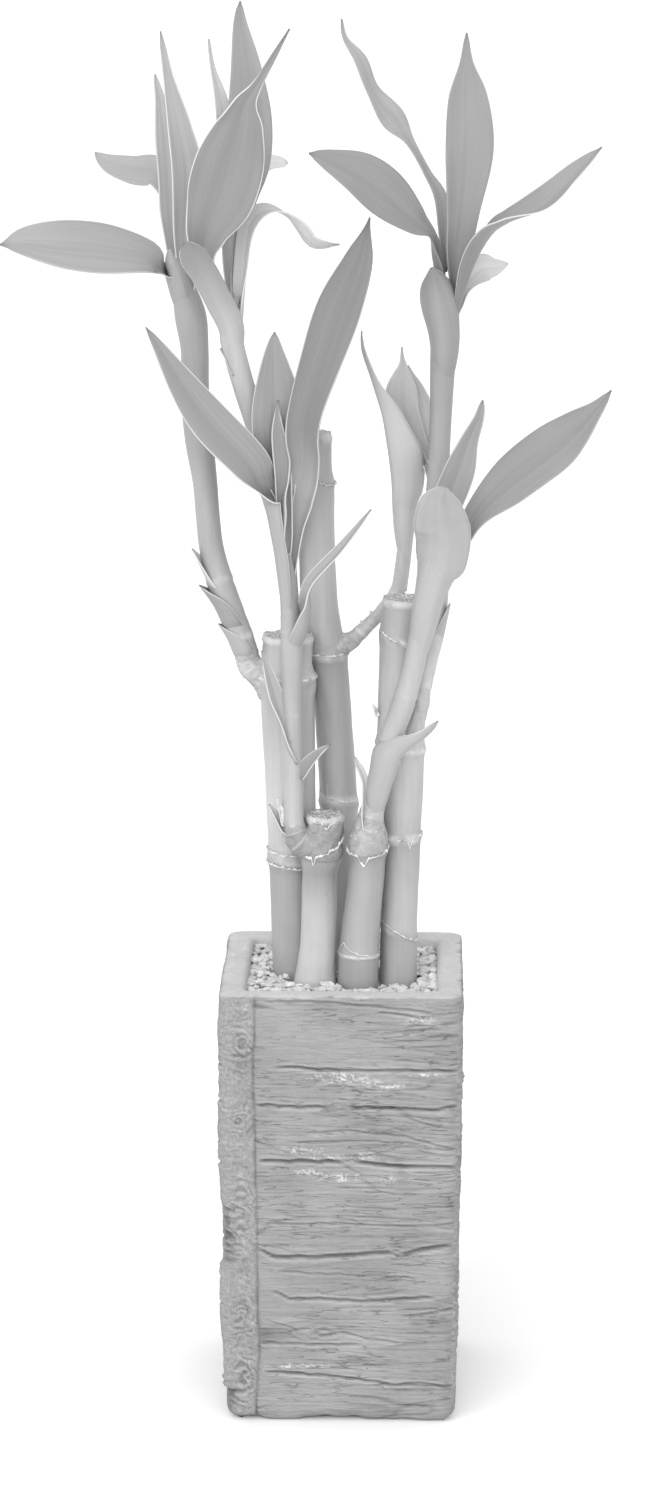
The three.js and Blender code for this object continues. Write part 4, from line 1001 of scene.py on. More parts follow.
def leaf_material(settings):
    """Satin leaf: fine veins and broad bands along the blade, soft blotches and a thin pale margin."""
    material, tree = new_material("leaf_blade", 0.45, 0.4)
    across = attribute(tree, "across")
    length = attribute(tree, "along")
    kind = attribute(tree, "kind")

    def place(waves_across, waves_along):
        """Coordinates that follow the blade; waves across its width and along one metre."""
        sideways, lengthways = product(tree, across, waves_across), product(tree, length, waves_along)
        return add_node(tree, "ShaderNodeCombineXYZ", {0: sideways, 1: lengthways, 2: kind}).outputs[0]

    veins = noise(tree, place(11.0, 9.0), roughness=0.65)
    bands = noise(tree, place(2.6, 7.0), detail=2)
    blotch = noise(tree, place(1.3, 26.0))
    # the light value of each corner holds painted light and shade
    tone = product(tree, attribute(tree, "light"), streaked(tree, veins, 0.95, 1.045),
                   streaked(tree, bands, 0.94, 1.05), streaked(tree, blotch, 0.95, 1.04))
    margin = span(tree, attribute(tree, "edge"), settings.margin * 0.6, settings.margin * 1.4, 1.0, 0.0)
    margin = product(tree, margin, attribute(tree, "pale"))
    base = blend_colour(tree, margin, grey(tree, tone), (*settings.margin_colour, 1))
    return finish_surface(material, base, veins, 0.00014, 0.6)


# Planter

# Roundings, foot and floor, in millimetres
OUTER_CORNER = 3.5
RIM_ROUND = 0.9
FOOT_INSET = 4.0
HEM_HEIGHT = 6.0
FLOOR_THICKNESS = 7.0
POST_WIDTH = 10.0
# Columns of cells on a face, and the share of them that lies on its post
FACE_COLUMNS = 58
POST_COLUMNS = 0.3
# Step to the sides of a ridge over which it is measured against its neighbours, and the rise that counts as
# a full ridge; the material paints hollows darker as shade and ridges lighter
RIDGE_STEP = 0.55
RIDGE_HEIGHT = 0.22
# How close two places are to count as one, and the share of the way out that counts as the outer surface
NEAR = 0.01
OUTER_SHARE = 0.999
# The way that each face looks
FACES = ((0, -1), (1, 0), (0, 1), (-1, 0))
# Edge of the corner post: [height, distance from the corner]
POST_EDGE = [[0, 8.9], [8, 8.9], [20, 9.8], [35, 9.4], [63, 9.2], [93, 8.5], [108, 8.7], [121, 8.9]]
# How much wider the planter is at its top than at its middle, and narrower at its foot, each side
TAPER = 0.8
# Gaps between planks on each face: [depth share, half width, [[place from the left corner, height], ...]]
PLANK_GAPS = [
  [0.5, 0.45, [[12, 119.6], [29, 119.4], [42, 118.2], [56, 116.6]]],
  [0.5, 0.4, [[41.9, 116.8], [55.4, 115]]],
  [0.35, 0.4, [[43.6, 110.5], [50.2, 111.6], [58.1, 112.2]]],
  [0.3, 0.35, [[40, 108.2], [52.8, 108.9], [59.4, 110.9]]],
  [0.85, 0.5, [[14.9, 101.3], [29, 100.6], [42.3, 100.5], [58.2, 100.6], [63, 100.4]]],
  [1, 0.55, [[9.8, 90.7], [15.7, 90.2], [27.7, 90]]],
  [1, 0.55, [[34.3, 90.1], [47.6, 89.9], [55.6, 89.4], [63, 90.6]]],
  [0.4, 0.35, [[22.6, 83], [31.7, 83.6], [47.7, 82.4], [61, 78.9]]],
  [0.3, 0.3, [[20, 80.2], [38, 80.6], [52, 80.1]]],
  [1.1, 0.6, [[10.6, 74.7], [21, 74.8], [31.9, 74.7]]],
  [1.1, 0.6, [[36.2, 74.7], [47.7, 73.7], [62.9, 73.3]]],
  [0.45, 0.35, [[14, 57], [31.7, 57.5], [47.8, 56.8], [62.5, 57.2]]],
  [1.1, 0.7, [[10.7, 49.6], [14.2, 47.6], [29, 47.8], [45.1, 49.1]]],
  [1.1, 0.7, [[48.4, 48.6], [53.2, 50], [61.2, 51.2]]],
  [0.35, 0.35, [[15.6, 43.4], [31.7, 42.7], [51.9, 42]]],
  [0.85, 0.55, [[14.2, 37.7], [18.2, 35.7], [29, 35.8], [37.1, 35], [47.9, 35.7], [56.5, 36.4]]],
  [0.6, 0.45, [[49, 31.2], [55.9, 31.8], [62.7, 33]]],
  [0.6, 0.4, [[10.7, 22.7], [23.6, 22.6], [37.1, 22.7]]],
  [0.6, 0.4, [[24, 24.2], [33, 26.2], [38, 24.6], [47, 23.4]]],
  [0.9, 0.5, [[12.2, 14.7], [26.3, 13.7], [34.4, 12.9], [45.3, 11.4]]],
  [0.6, 0.45, [[45.3, 10.7], [53.4, 11.7], [61.5, 10.3]]],
]
# Knots: [place, height, half width, half height, ridge height]
PLANK_KNOTS = [[46.7, 49.1, 1.7, 1.4, 0.35], [27.4, 26.1, 4.4, 1.7, 0.3], [31.5, 90.4, 3, 1.6, 0.12],
  [52, 72.5, 2, 1.2, 0.12]]
POST_KNOTS = [[5.4, 107.1, 3.2, 4.2, 0.3], [4.6, 60.3, 3.4, 7.5, 0.4], [5, 30.1, 2.8, 3.4, 0.32],
  [5.2, 12.6, 3, 5, 0.4], [4.6, 86, 3.2, 2.4, 0.2]]
# The front left corner: [height, how far it swells out], then [height, how rough it is broken]
SWOLLEN_CORNER = [[0, -0.5], [5.6, -0.6], [9, -0.9], [10, 1.1], [22, 1], [29, 1.9], [43, 1.6], [45, 1.5],
  [46.5, -0.6], [53, -0.9], [60, -0.3], [63.5, 0.6], [70, 1], [73, 1.5], [90, 1.2], [100, 0.5], [105, 0.5],
  [110, 1.1], [118, 0.5], [121, 0.3]]
BROKEN_CORNER = [[0, 0.05], [5, 0.1], [7, 0.7], [13, 0.7], [15, 0.05], [45, 0.05], [47, 0.9], [61, 1],
  [63, 0.1], [121, 0.05]]
# Paler chips: [place, height, half width, half height]
CHIPS = [[21, 77.9, 5, 1], [27.7, 75.9, 3.5, 0.9], [38.3, 76.3, 2.6, 1.2], [24, 71.8, 4, 0.8],
  [34, 97.5, 8, 1], [31, 99, 6, 0.7], [44, 96, 5, 0.8], [55, 99.3, 4, 0.5],
  [31.7, 70.4, 4.5, 1.2], [45.2, 69.6, 1.8, 1], [53, 114.6, 3, 0.9], [20.5, 16.3, 6, 0.6],
  [6.5, 117.5, 1, 0.8]]
# White chips on the rim: [x, y, size]
RIM_CHIPS = [[-27.7, 12.8, 0.9], [-31.2, 7.7, 0.8], [-31.4, -1, 0.7], [-29.9, -12.5, 0.6],
  [30.3, -20.2, 0.5]]


def groove(place, height, line, width, seed):
    """How far each point lies in a gap that follows a line of points, from 0 outside to 1 in its middle."""
    line = np.array(line, float)
    middle = np.interp(place, line[:, 0], line[:, 1]) + 0.22 * wobble(place / 2.6, place * 0, seed)
    reach = smoothstep(line[0, 0] - 1.2, line[0, 0] + 1.5, place) * (
        1 - smoothstep(line[-1, 0] - 1.5, line[-1, 0] + 1.2, place))
    uneven = 0.85 + 0.25 * wobble(place / 5, place * 0 + 3.3, seed + 1)
    return reach * uneven * bell(height - middle, width)


def face_relief(place, height, seed, seam_depth, grain_depth):
    """Relief of one planter face in millimetres, outwards positive, its pale chips and its share of post.
    The front, with seed 0, has its gaps, knots and chips where the photograph shows them; the other faces
    have them moved."""
    shift = 0.35 * np.sin(seed * 2.4)
    lift = 0.8 * np.sin(seed * 1.7)
    line = from_table(POST_EDGE, height) + 0.15 * wobble(height / 5, height * 0, seed + 90)
    on_post = 1 - smoothstep(-0.5, 0.4, place - line)
    bowed = height + 1.2 * wobble(place / 22, height / 30, seed + 40)
    grain = rough(place / 15 + seed, bowed / 1.5, seed + 1, 4)
    fine = rough(place / 8, bowed / 0.9, seed + 7, 2)
    patch = smoothstep(-0.35, 0.45, rough(place / 18, height / 9, seed + 15, 2))
    planks = grain_depth * (0.7 * grain * (0.5 + 0.5 * patch) + 0.8 * fine * (0.15 + 0.85 * patch))
    for k, spread in enumerate((0.035, 0.05)):
        cracks = np.abs(wobble(place / (26 + 9 * k), bowed / (3.4 + k), seed + 21 + k))
        planks -= grain_depth * 1.5 * bell(cracks, spread) * patch
    swell = 0.35 * rough(place / 20, height / 14, seed + 30, 2)
    for k, (depth, width, gap) in enumerate(PLANK_GAPS):
        moved = [[x, z + shift * k % 1.1 + lift] if seed else [x, z] for x, z in gap]
        gap_share = groove(place, height, moved, width * 0.85, seed + 50 + k)
        banks = groove(place, height, moved, width * 2, seed + 50 + k)
        planks -= seam_depth * depth * (gap_share - 0.3 * (banks - gap_share))
    for x, z, wide, tall, ridge in PLANK_KNOTS:
        x = 12 + (x * 1.7 + seed * 9.3) % 46 if seed else x
        ring = np.hypot((place - x) / wide, (height - z) / tall)
        planks += ridge * np.cos(6.5 * ring) * np.exp(-ring**2 * 0.7)
    if not seed:
        # shallow hollow beside the post, low on the front
        hollow = smoothstep(10, 10.6, place) * (1 - smoothstep(11, 24, place))
        hollow *= smoothstep(22.3, 23.2, height) * (1 - smoothstep(26.6, 27.6, height))
        planks -= 0.6 * hollow
    bent = 1.5 * wobble(place / 5, height / 9, seed + 61)
    waves = rough(place / 3.2, height / 2.6 + bent, seed + 62, 4)
    curls = np.abs(wobble(place / 4.5 + 0.6 * bent, height / 5.5 + bent, seed + 66))
    old_post = grain_depth * (2 * waves - 0.8 * bell(curls, 0.05))
    for x, z, wide, tall, ridge in POST_KNOTS:
        z = 8 + (z * 1.3 + seed * 17) % 104 if seed else z
        warp = 0.3 * wobble(place / 1.6, height / 1.6, seed + 80)
        ring = np.hypot((place - x) / wide, (height - z) / tall) + warp
        old_post += ridge * np.cos(12 * ring) * np.exp(-ring**2 * 0.5)
        old_post -= 0.3 * bell(ring, 0.22)
    seam = bell(place - line - 0.1, 0.34) * (0.85 + 0.3 * wobble(height / 4, height * 0, seed + 91))
    relief = planks * (1 - on_post) + (old_post + 0.15) * on_post + swell - seam_depth * 0.75 * seam
    chips = np.zeros(len(place))
    for x, z, wide, tall in CHIPS:
        x = 11 + (x * 2.3 + seed * 13) % 48 if seed else x
        blob = np.exp(-(((place - x) / wide) ** 2) - ((height - z) / tall) ** 2)
        chips = np.maximum(chips, blob * (0.45 + 1.1 * wobble(place / 0.9, height / 0.6, seed + 95)))
    relief += 0.25 * np.clip(chips, 0, 1)
    return relief, np.clip(chips, 0, 1), on_post


def corner_wear(height, turn):
    """How far a standing corner swells out or is broken away at each height, in millimetres."""
    wear = -0.35 * np.clip(rough(height / 5, height * 0 + turn, 301 + turn, 3) + 0.1, 0, 1)
    wear -= 0.4 * np.clip(rough(height / 2.2, height * 0 + 3 * turn, 311 + turn, 3) - 0.25, 0, 1)
    if turn:
        return wear
    spiky = 0.9 * wobble(height / 0.9, height * 0, 331) + 0.5 * wobble(height / 0.45, height * 0, 341)
    return 0.4 * wear + from_table(SWOLLEN_CORNER, height) + from_table(BROKEN_CORNER, height) * spiky


class PLANT_OT_planter(bpy.types.Operator):
    """Adds the square planter with its weathered plank relief"""
    bl_idname = "plant.planter"
    bl_label = "Planter"

    def execute(self, context):
        settings = context.scene.planter
        half, height, wall = settings.width / MM / 2, settings.height / MM, settings.wall / MM
        o = self.rough_shape(half, height, wall)
        base = self.closer_columns(points_of(o), half)
        share = self.outline_share(base, height)
        outside = share > OUTER_SHARE
        on_top = (base[:, 2] > height - NEAR) & ~outside
        core = np.clip(base[:, :2], -(half - OUTER_CORNER), half - OUTER_CORNER)
        outward = unit(base[:, :2] - core)
        relief, chips, post, worn = self.faces(base, outward, outside, half, settings)
        points = base.copy()
        points[:, :2] += outward * self.outside_move(base, outside, relief, height)[:, None]
        self.shape_rim(points, base, share, on_top, half, height, wall)
        self.shape_edges(points, base, outside, on_top, height)
        set_points(o, points)
        for x, y, size in RIM_CHIPS:
            away = np.hypot(base[:, 0] - x, base[:, 1] - y) / size
            chips[on_top] = np.maximum(chips, 1.3 * np.exp(-away**2))[on_top]
        crown = base[:, 2] + 0.5 * rough(base[:, 0] / 3, base[:, 1] / 3, 421, 3)
        rim = np.where(outside, smoothstep(height - 0.4, height, crown), 1)
        keep_values(o, relief=relief, chips=chips, post=post, worn=np.clip(worn, -1, 1), rim=rim)
        finish_piece(o, "planter_cast", ["planter"], cast_material(settings))
        return {"FINISHED"}

    @staticmethod
    def outline_share(base, height):
        """How far out each point lies on its way from the middle to the outline, from 0 to 1."""
        reach = np.hypot(base[:, 0], base[:, 1])
        angle = np.arctan2(base[:, 1], base[:, 0])
        level = np.abs(base[:, 2] - height) < NEAR
        outline = {}
        for a, r in zip(np.round(angle[level], 4), reach[level]):
            outline[a] = max(outline.get(a, 0), r)
        order = np.array(sorted(outline))
        full = np.interp(angle, order, [outline[a] for a in order], period=2 * math.pi)
        return np.where(full > 0, reach / full, 0)

    @staticmethod
    def faces(base, outward, outside, half, settings):
        """Relief, pale chips, share of post and the ridges and hollows of the outer surface, face by face;
        the material paints the hollows darker as shade and the ridges lighter.
        """
        relief, chips, post, worn = np.zeros((4, len(base)))
        side = np.argmax([outward @ np.array(way) for way in FACES], axis=0)
        for k in range(len(FACES)):
            chosen = outside & (side == k)
            turn = k * math.pi / 2
            place = base[chosen, 0] * math.cos(turn) + base[chosen, 1] * math.sin(turn) + half
            z = base[chosen, 2]
            here, below, above = [
                face_relief(place, z + step, 3 * k, settings.seam_depth / MM, settings.grain_depth / MM)
                for step in (0, -RIDGE_STEP, RIDGE_STEP)]
            relief[chosen], chips[chosen], post[chosen] = here
            # how far the relief stands above or sinks below its neighbours, for painted shade in hollows
            # and lighter ridges
            worn[chosen] = (here[0] - (below[0] + above[0]) / 2) / RIDGE_HEIGHT
            corner = np.minimum(place, 2 * half - place)
            wear = np.where(place < half, corner_wear(z, k), corner_wear(z, (k + 1) % 4))
            relief[chosen] *= smoothstep(0.2, 2.2, corner)
            relief[chosen] += wear * (1 - smoothstep(1.2, 5, corner))
        return relief, chips, post, worn

    @staticmethod
    def outside_move(base, outside, relief, height):
        """How far the outer surface moves out: relief and taper, less the roundings of foot and rim."""
        z = base[:, 2]
        foot = FOOT_INSET * np.clip(1 - z / FOOT_INSET, 0, 1) ** 2.6
        foot *= 0.5 + 0.6 * smoothstep(-0.4, 0.6, rough(base[:, 0] / 9, base[:, 1] / 9, 401, 2))
        over = np.clip(z - (height - RIM_ROUND), 0, RIM_ROUND)
        rim = RIM_ROUND - np.sqrt(RIM_ROUND**2 - over**2)
        fade = 1 - smoothstep(height - RIM_ROUND - 0.6, height - 0.3, z)
        taper = TAPER * (z / height - 0.5) * 2
        return np.where(outside, relief * (0.15 + 0.85 * fade) + taper - foot - rim, 0)

    @staticmethod
    def shape_rim(points, base, share, on_top, half, height, wall):
        """Draws the flat top in between its roundings and makes it uneven, also along its outer crest."""
        depth = (1 - share) * half
        top_share = 1 - (RIM_ROUND + depth / wall * (wall - 1.2 * RIM_ROUND)) / half
        points[on_top, :2] = base[on_top, :2] / share[on_top, None] * top_share[on_top, None]
        uneven = 0.3 * rough(base[:, 0] / 11, base[:, 1] / 11, 501, 3)
        points[on_top, 2] += (uneven - 0.9 * np.clip((depth - wall + 1.6) / 1.6, 0, 1) ** 2)[on_top]
        crest = (share > OUTER_SHARE) & (base[:, 2] > height - NEAR)
        points[crest, 2] += (uneven - 0.12)[crest]

    @staticmethod
    def shape_edges(points, base, outside, on_top, height):
        """Makes the lower edge ragged, rounds the well's edge and makes its walls slightly uneven."""
        x, y, z = base.T
        hem = outside & (z < HEM_HEIGHT)
        ragged = np.clip(1.1 * rough(x / 8, y / 8, 411, 3) + 0.1, 0, 1) * (1 - z / HEM_HEIGHT)
        points[hem, 2] += ragged[hem]
        inside = ~outside & ~on_top & (z > NEAR)
        points[inside, 2] -= 0.9 * smoothstep(height - 4, height, z)[inside]
        points[inside, :2] *= (1 + 0.004 * rough(x / 8, z / 8, 601, 3))[inside, None]

    @staticmethod
    def closer_columns(base, half):
        """Draws the columns of cells of each face together on its post, in millimetres."""
        base = base.copy()
        flat = half - OUTER_CORNER
        post_share = (POST_WIDTH - OUTER_CORNER + 1.5) / (2 * flat)
        for k in range(4):
            along_x, along_y = math.cos(k * math.pi / 2), math.sin(k * math.pi / 2)
            side = base[:, 0] * along_x + base[:, 1] * along_y
            away = base[:, 0] * along_y - base[:, 1] * along_x
            mine = (away > np.abs(side) * 0.99) & (away > 1)
            share = (side / away.clip(1e-6) * half / flat + 1) / 2
            inner = mine & (share > 0.001) & (share < 0.999)
            wanted = np.interp(share, (0, POST_COLUMNS, 1), (0, post_share, 1))
            moved = side + (wanted - share) * 2 * flat * away / half
            base[inner, 0] += ((moved - side) * along_x)[inner]
            base[inner, 1] += ((moved - side) * along_y)[inner]
        return base

    @staticmethod
    def rough_shape(half, height, wall):
        """Rounded square block with its well, cut into small cells, in millimetres."""
        o = block(half, 0, height, OUTER_CORNER, 5)
        select_faces(o, lambda centre, normal: normal.z > 0.9)
        share = (half - wall) / half
        bpy.ops.mesh.extrude_region_move()
        bpy.ops.transform.resize(value=(share, share, 1), center_override=(0, 0, height))
        bpy.ops.mesh.extrude_region_move(
            TRANSFORM_OT_translate={"value": (0, 0, FLOOR_THICKNESS - height)})
        select_faces(o, lambda centre, normal: abs(normal.z) > 0.9 and math.hypot(centre.x, centre.y) < 1)
        bpy.ops.mesh.delete(type="ONLY_FACE")

        def cut(cuts, chosen):
            """Cuts the chosen edges into even parts."""
            select_edges(o, chosen)
            bpy.ops.mesh.subdivide(number_cuts=cuts)

        def reach(ends, k):
            """Distance of one end of each edge from the middle."""
            return np.hypot(ends[:, k, 0], ends[:, k, 1])

        # the flat part of each face, outside and in the well
        flat = 2 * (half - OUTER_CORNER) * share - 0.5
        cut(FACE_COLUMNS - 1, lambda ends: (rise(ends) < NEAR)
            & (np.linalg.norm(ends[:, 0] - ends[:, 1], axis=1) > flat))
        # the outer wall's height in two steps
        for cuts in (15, 19):
            cut(cuts, lambda ends: (rise(ends) > 3) & (reach(ends, 0) > half - 0.6)
                & (np.abs(ends[:, 0, :2]).max(axis=1) > half - OUTER_CORNER))
        # the rim from the outside to the well
        cut(9, lambda ends: (rise(ends) < NEAR) & (np.abs(ends[:, 0, 2] - height) < NEAR)
            & (np.abs(reach(ends, 0) - reach(ends, 1)) > wall * 0.9))
        # the well's height
        cut(17, lambda ends: rise(ends) > height / 2)
        bpy.ops.mesh.select_all(action="DESELECT")
        bpy.ops.object.mode_set(mode="OBJECT")
        for level in (0, FLOOR_THICKNESS):
            select_edges(o, lambda ends: np.abs(ends[:, :, 2] - level).max(axis=1) < NEAR)
            bpy.ops.mesh.edge_face_add()
        bpy.ops.mesh.select_all(action="SELECT")
        bpy.ops.mesh.normals_make_consistent(inside=False)
        bpy.ops.object.mode_set(mode="OBJECT")
        return o


# Gravel

GRAVEL_TOP = 115.5
# Height of the middle of the uppermost stones, and the mound round the front canes
STONES_LEVEL = 118.3
MOUND_PLACE = (-8, -16)
MOUND_RISE = 1.3
MOUND_REACH = 11
# Layers of stones: [depth under the uppermost, distance between stones as a share of their length]
STONE_LAYERS = ((1.5, 0.8), (0.6, 0.8), (0, 0.84))
STONE_SHAPES = 7
# Gap between the bed and the planter, and how much wider the planter's inside is at the gravel than at
# its floor, each side
BED_GAP = 0.35
WALL_LEAN = 0.62
BED_CORNER = 3.2
BED_RINGS = 8


def cane_place(name, height):
    """Centre and radius of a cane at a height."""
    rows = np.array(CANES[name], float)
    return tuple(float(np.interp(height, rows[:, 2], rows[:, k])) for k in (0, 1, 3))


class PLANT_OT_gravel(bpy.types.Operator):
    """Fills the planter with small pale stones on a bed"""
    bl_idname = "plant.gravel"
    bl_label = "Gravel"

    def execute(self, context):
        settings = context.scene.gravel
        planter = context.scene.planter
        half = planter.width / MM / 2 - planter.wall / MM - 0.05
        random = np.random.default_rng(settings.seed)
        bed = self.bed(half - BED_GAP)
        stones = self.stones(context, random, half + WALL_LEAN, settings.stone / MM)
        keep_values(bed, light=1)
        o = join([bed, stones])
        finish_piece(o, "gravel_stones", ["gravel"], stone_material(settings.colour))
        bpy.ops.object.shade_smooth_by_angle(angle=math.radians(24))
        return {"FINISHED"}

    @classmethod
    def stones(cls, context, random, edge, size):
        """Loose stones in uneven rows and layers, left out where a cane stands."""
        models = [cls.stone(random) for _ in range(STONE_SHAPES)]
        canes = [cane_place(name, GRAVEL_TOP) for name in CANES]
        points, faces, light = [], [], []
        count = 0
        for depth, pitch in STONE_LAYERS:
            number = int(2 * edge / (size * pitch))
            step = 2 * edge / number
            for place in np.ndindex(number, number):
                length = size * random.uniform(0.7, 1.5)
                turn = random.uniform(0, 2 * math.pi)
                tilt = random.uniform(-0.6, 0.6)
                x, y = [-edge + step * (k + 0.5 + random.uniform(-0.42, 0.42)) for k in place]
                mound = MOUND_RISE * bell(math.dist((x, y), MOUND_PLACE), MOUND_REACH)
                z = STONES_LEVEL + mound - depth + random.uniform(-0.4, 0.4)
                tone = random.uniform(0.8, 1.06)
                corners, sides = models[random.integers(len(models))]
                x, y = np.clip((x, y), -edge + length * 0.3, edge - length * 0.3)
                if any(math.hypot(x - cx, y - cy) < r + length * 0.36 for cx, cy, r in canes):
                    continue
                spin = np.array(Matrix.Rotation(turn, 3, "Z") @ Matrix.Rotation(tilt, 3, "X"))
                points.append((corners * length) @ spin.T + (x, y, z))
                faces.append(sides + count)
                light.append(np.full(len(corners), tone))
                count += len(corners)
        mesh = bpy.data.meshes.new("stones")
        mesh.from_pydata((np.concatenate(points) * MM).tolist(), [], np.concatenate(faces).tolist())
        stones = bpy.data.objects.new("stones", mesh)
        context.collection.objects.link(stones)
        keep_values(stones, light=np.concatenate(light))
        return stones

    @staticmethod
    def bed(half):
        """Bed under the loose stones, slightly uneven on top."""
        low, high = FLOOR_THICKNESS + BED_GAP, GRAVEL_TOP + 0.6
        o = block(half, low, high, BED_CORNER, 3)
        select_faces(o, lambda centre, normal: normal.z > 0.9)
        cap_rings(BED_RINGS, center_override=(0, 0, high))
        bpy.ops.object.mode_set(mode="OBJECT")
        points = points_of(o)
        points[:, :2] *= 1 + 0.9 * WALL_LEAN / half * points[:, 2:] / high
        top = (points[:, 2] > high - NEAR) & (np.abs(points[:, :2]).max(axis=1) < half - 1)
        points[top, 2] += 0.5 * rough(points[top, 0] / 4, points[top, 1] / 4, 71, 2)
        set_points(o, points)
        return o

    @staticmethod
    def stone(random):
        """One crushed stone about 1 long: corners and sides."""
        o = added(bpy.ops.mesh.primitive_cube_add, size=1)
        select_faces(o, lambda centre, normal: True)
        bpy.ops.mesh.subdivide(number_cuts=1)
        bpy.ops.object.mode_set(mode="OBJECT")
        corners = points_of(o)
        corners *= 0.45 + 0.14 / np.linalg.norm(corners, axis=1, keepdims=True)
        for _ in range(6):
            # flatten against a random plane
            normal = unit(random.normal(size=(1, 3)))[0]
            reach = random.uniform(0.24, 0.4)
            over = np.clip(corners @ normal - reach, 0, None)
            corners -= np.outer(over * 0.92, normal)
        corners *= (1.06, random.uniform(0.6, 0.86), random.uniform(0.34, 0.52))
        corners += random.normal(scale=0.02, size=corners.shape)
        sides = np.array([list(f.vertices) for f in o.data.polygons])
        bpy.data.objects.remove(o)
        return corners, sides


# Canes

CANE_SIDES = 40
TUBE_SIDES = 26
CANE_FOOT = 100.0
CANE_STEP = 0.36
# Depth under a cane's top within which level faces show its cut
CUT_DEPTH = 3
# Canes whose cut top shows; the top of cane_3 ends inside the foot of its shoot
CUT_CANES = ("cane_1", "cane_2", "cane_4", "cane_5")
# Softening of the corners in the canes' tables, in tenths of a millimetre: [reach, spread]
SOFT_BEND = (120, 35)
SOFT_WIDTH = (40, 4.5)
# How rough and brown a side stump is, and how strong its scar lines are
STUMP_LOOKS = {"cane_5": (0.3, 0.15)}
USUAL_STUMP = (0.85, 0.4)


def softened(rows, column, heights, reach, spread):
    """A column of a cane's table at each height, with its corners softened."""
    fine = np.arange(rows[0, 2], rows[-1, 2] + 0.01, 0.1)
    kernel = np.exp(-0.5 * (np.arange(-reach, reach + 1) / spread) ** 2)
    values = np.pad(np.interp(fine, rows[:, 2], rows[:, column]), reach, mode="reflect", reflect_type="odd")
    return np.interp(heights, fine, np.convolve(values, kernel / kernel.sum(), "valid"))


def middle_of(name, heights):
    """The middle of a cane at each height."""
    rows = np.array(CANES[name], float)
    return np.stack([softened(rows, k, heights, *SOFT_BEND) for k in (0, 1)], axis=-1)


def around_cane(name, angle, height, stand_off=0.0):
    """Points round a cane; angle 0 faces the front and grows to the right."""
    middle = middle_of(name, height)
    radius = softened(np.array(CANES[name], float), 3, height, *SOFT_WIDTH) + stand_off
    for z, slope, _ in CANE_NODES[name]:
        height = height + slope * np.sin(angle) * radius * bell(height - z, 5)
    x, y = middle.T
    return np.stack([x + radius * np.sin(angle), y - radius * np.cos(angle), height], axis=-1)


def crust_at(name, height):
    """How rough and brown a cane is at each height, from 0 to 1."""
    crust = np.zeros(len(height))
    for low, high, strength in CANE_CRUST[name]:
        inside = smoothstep(low - 0.6, low + 0.6, height) * (1 - smoothstep(high - 1, high + 1, height))
        crust = np.maximum(crust, strength * inside)
    return crust


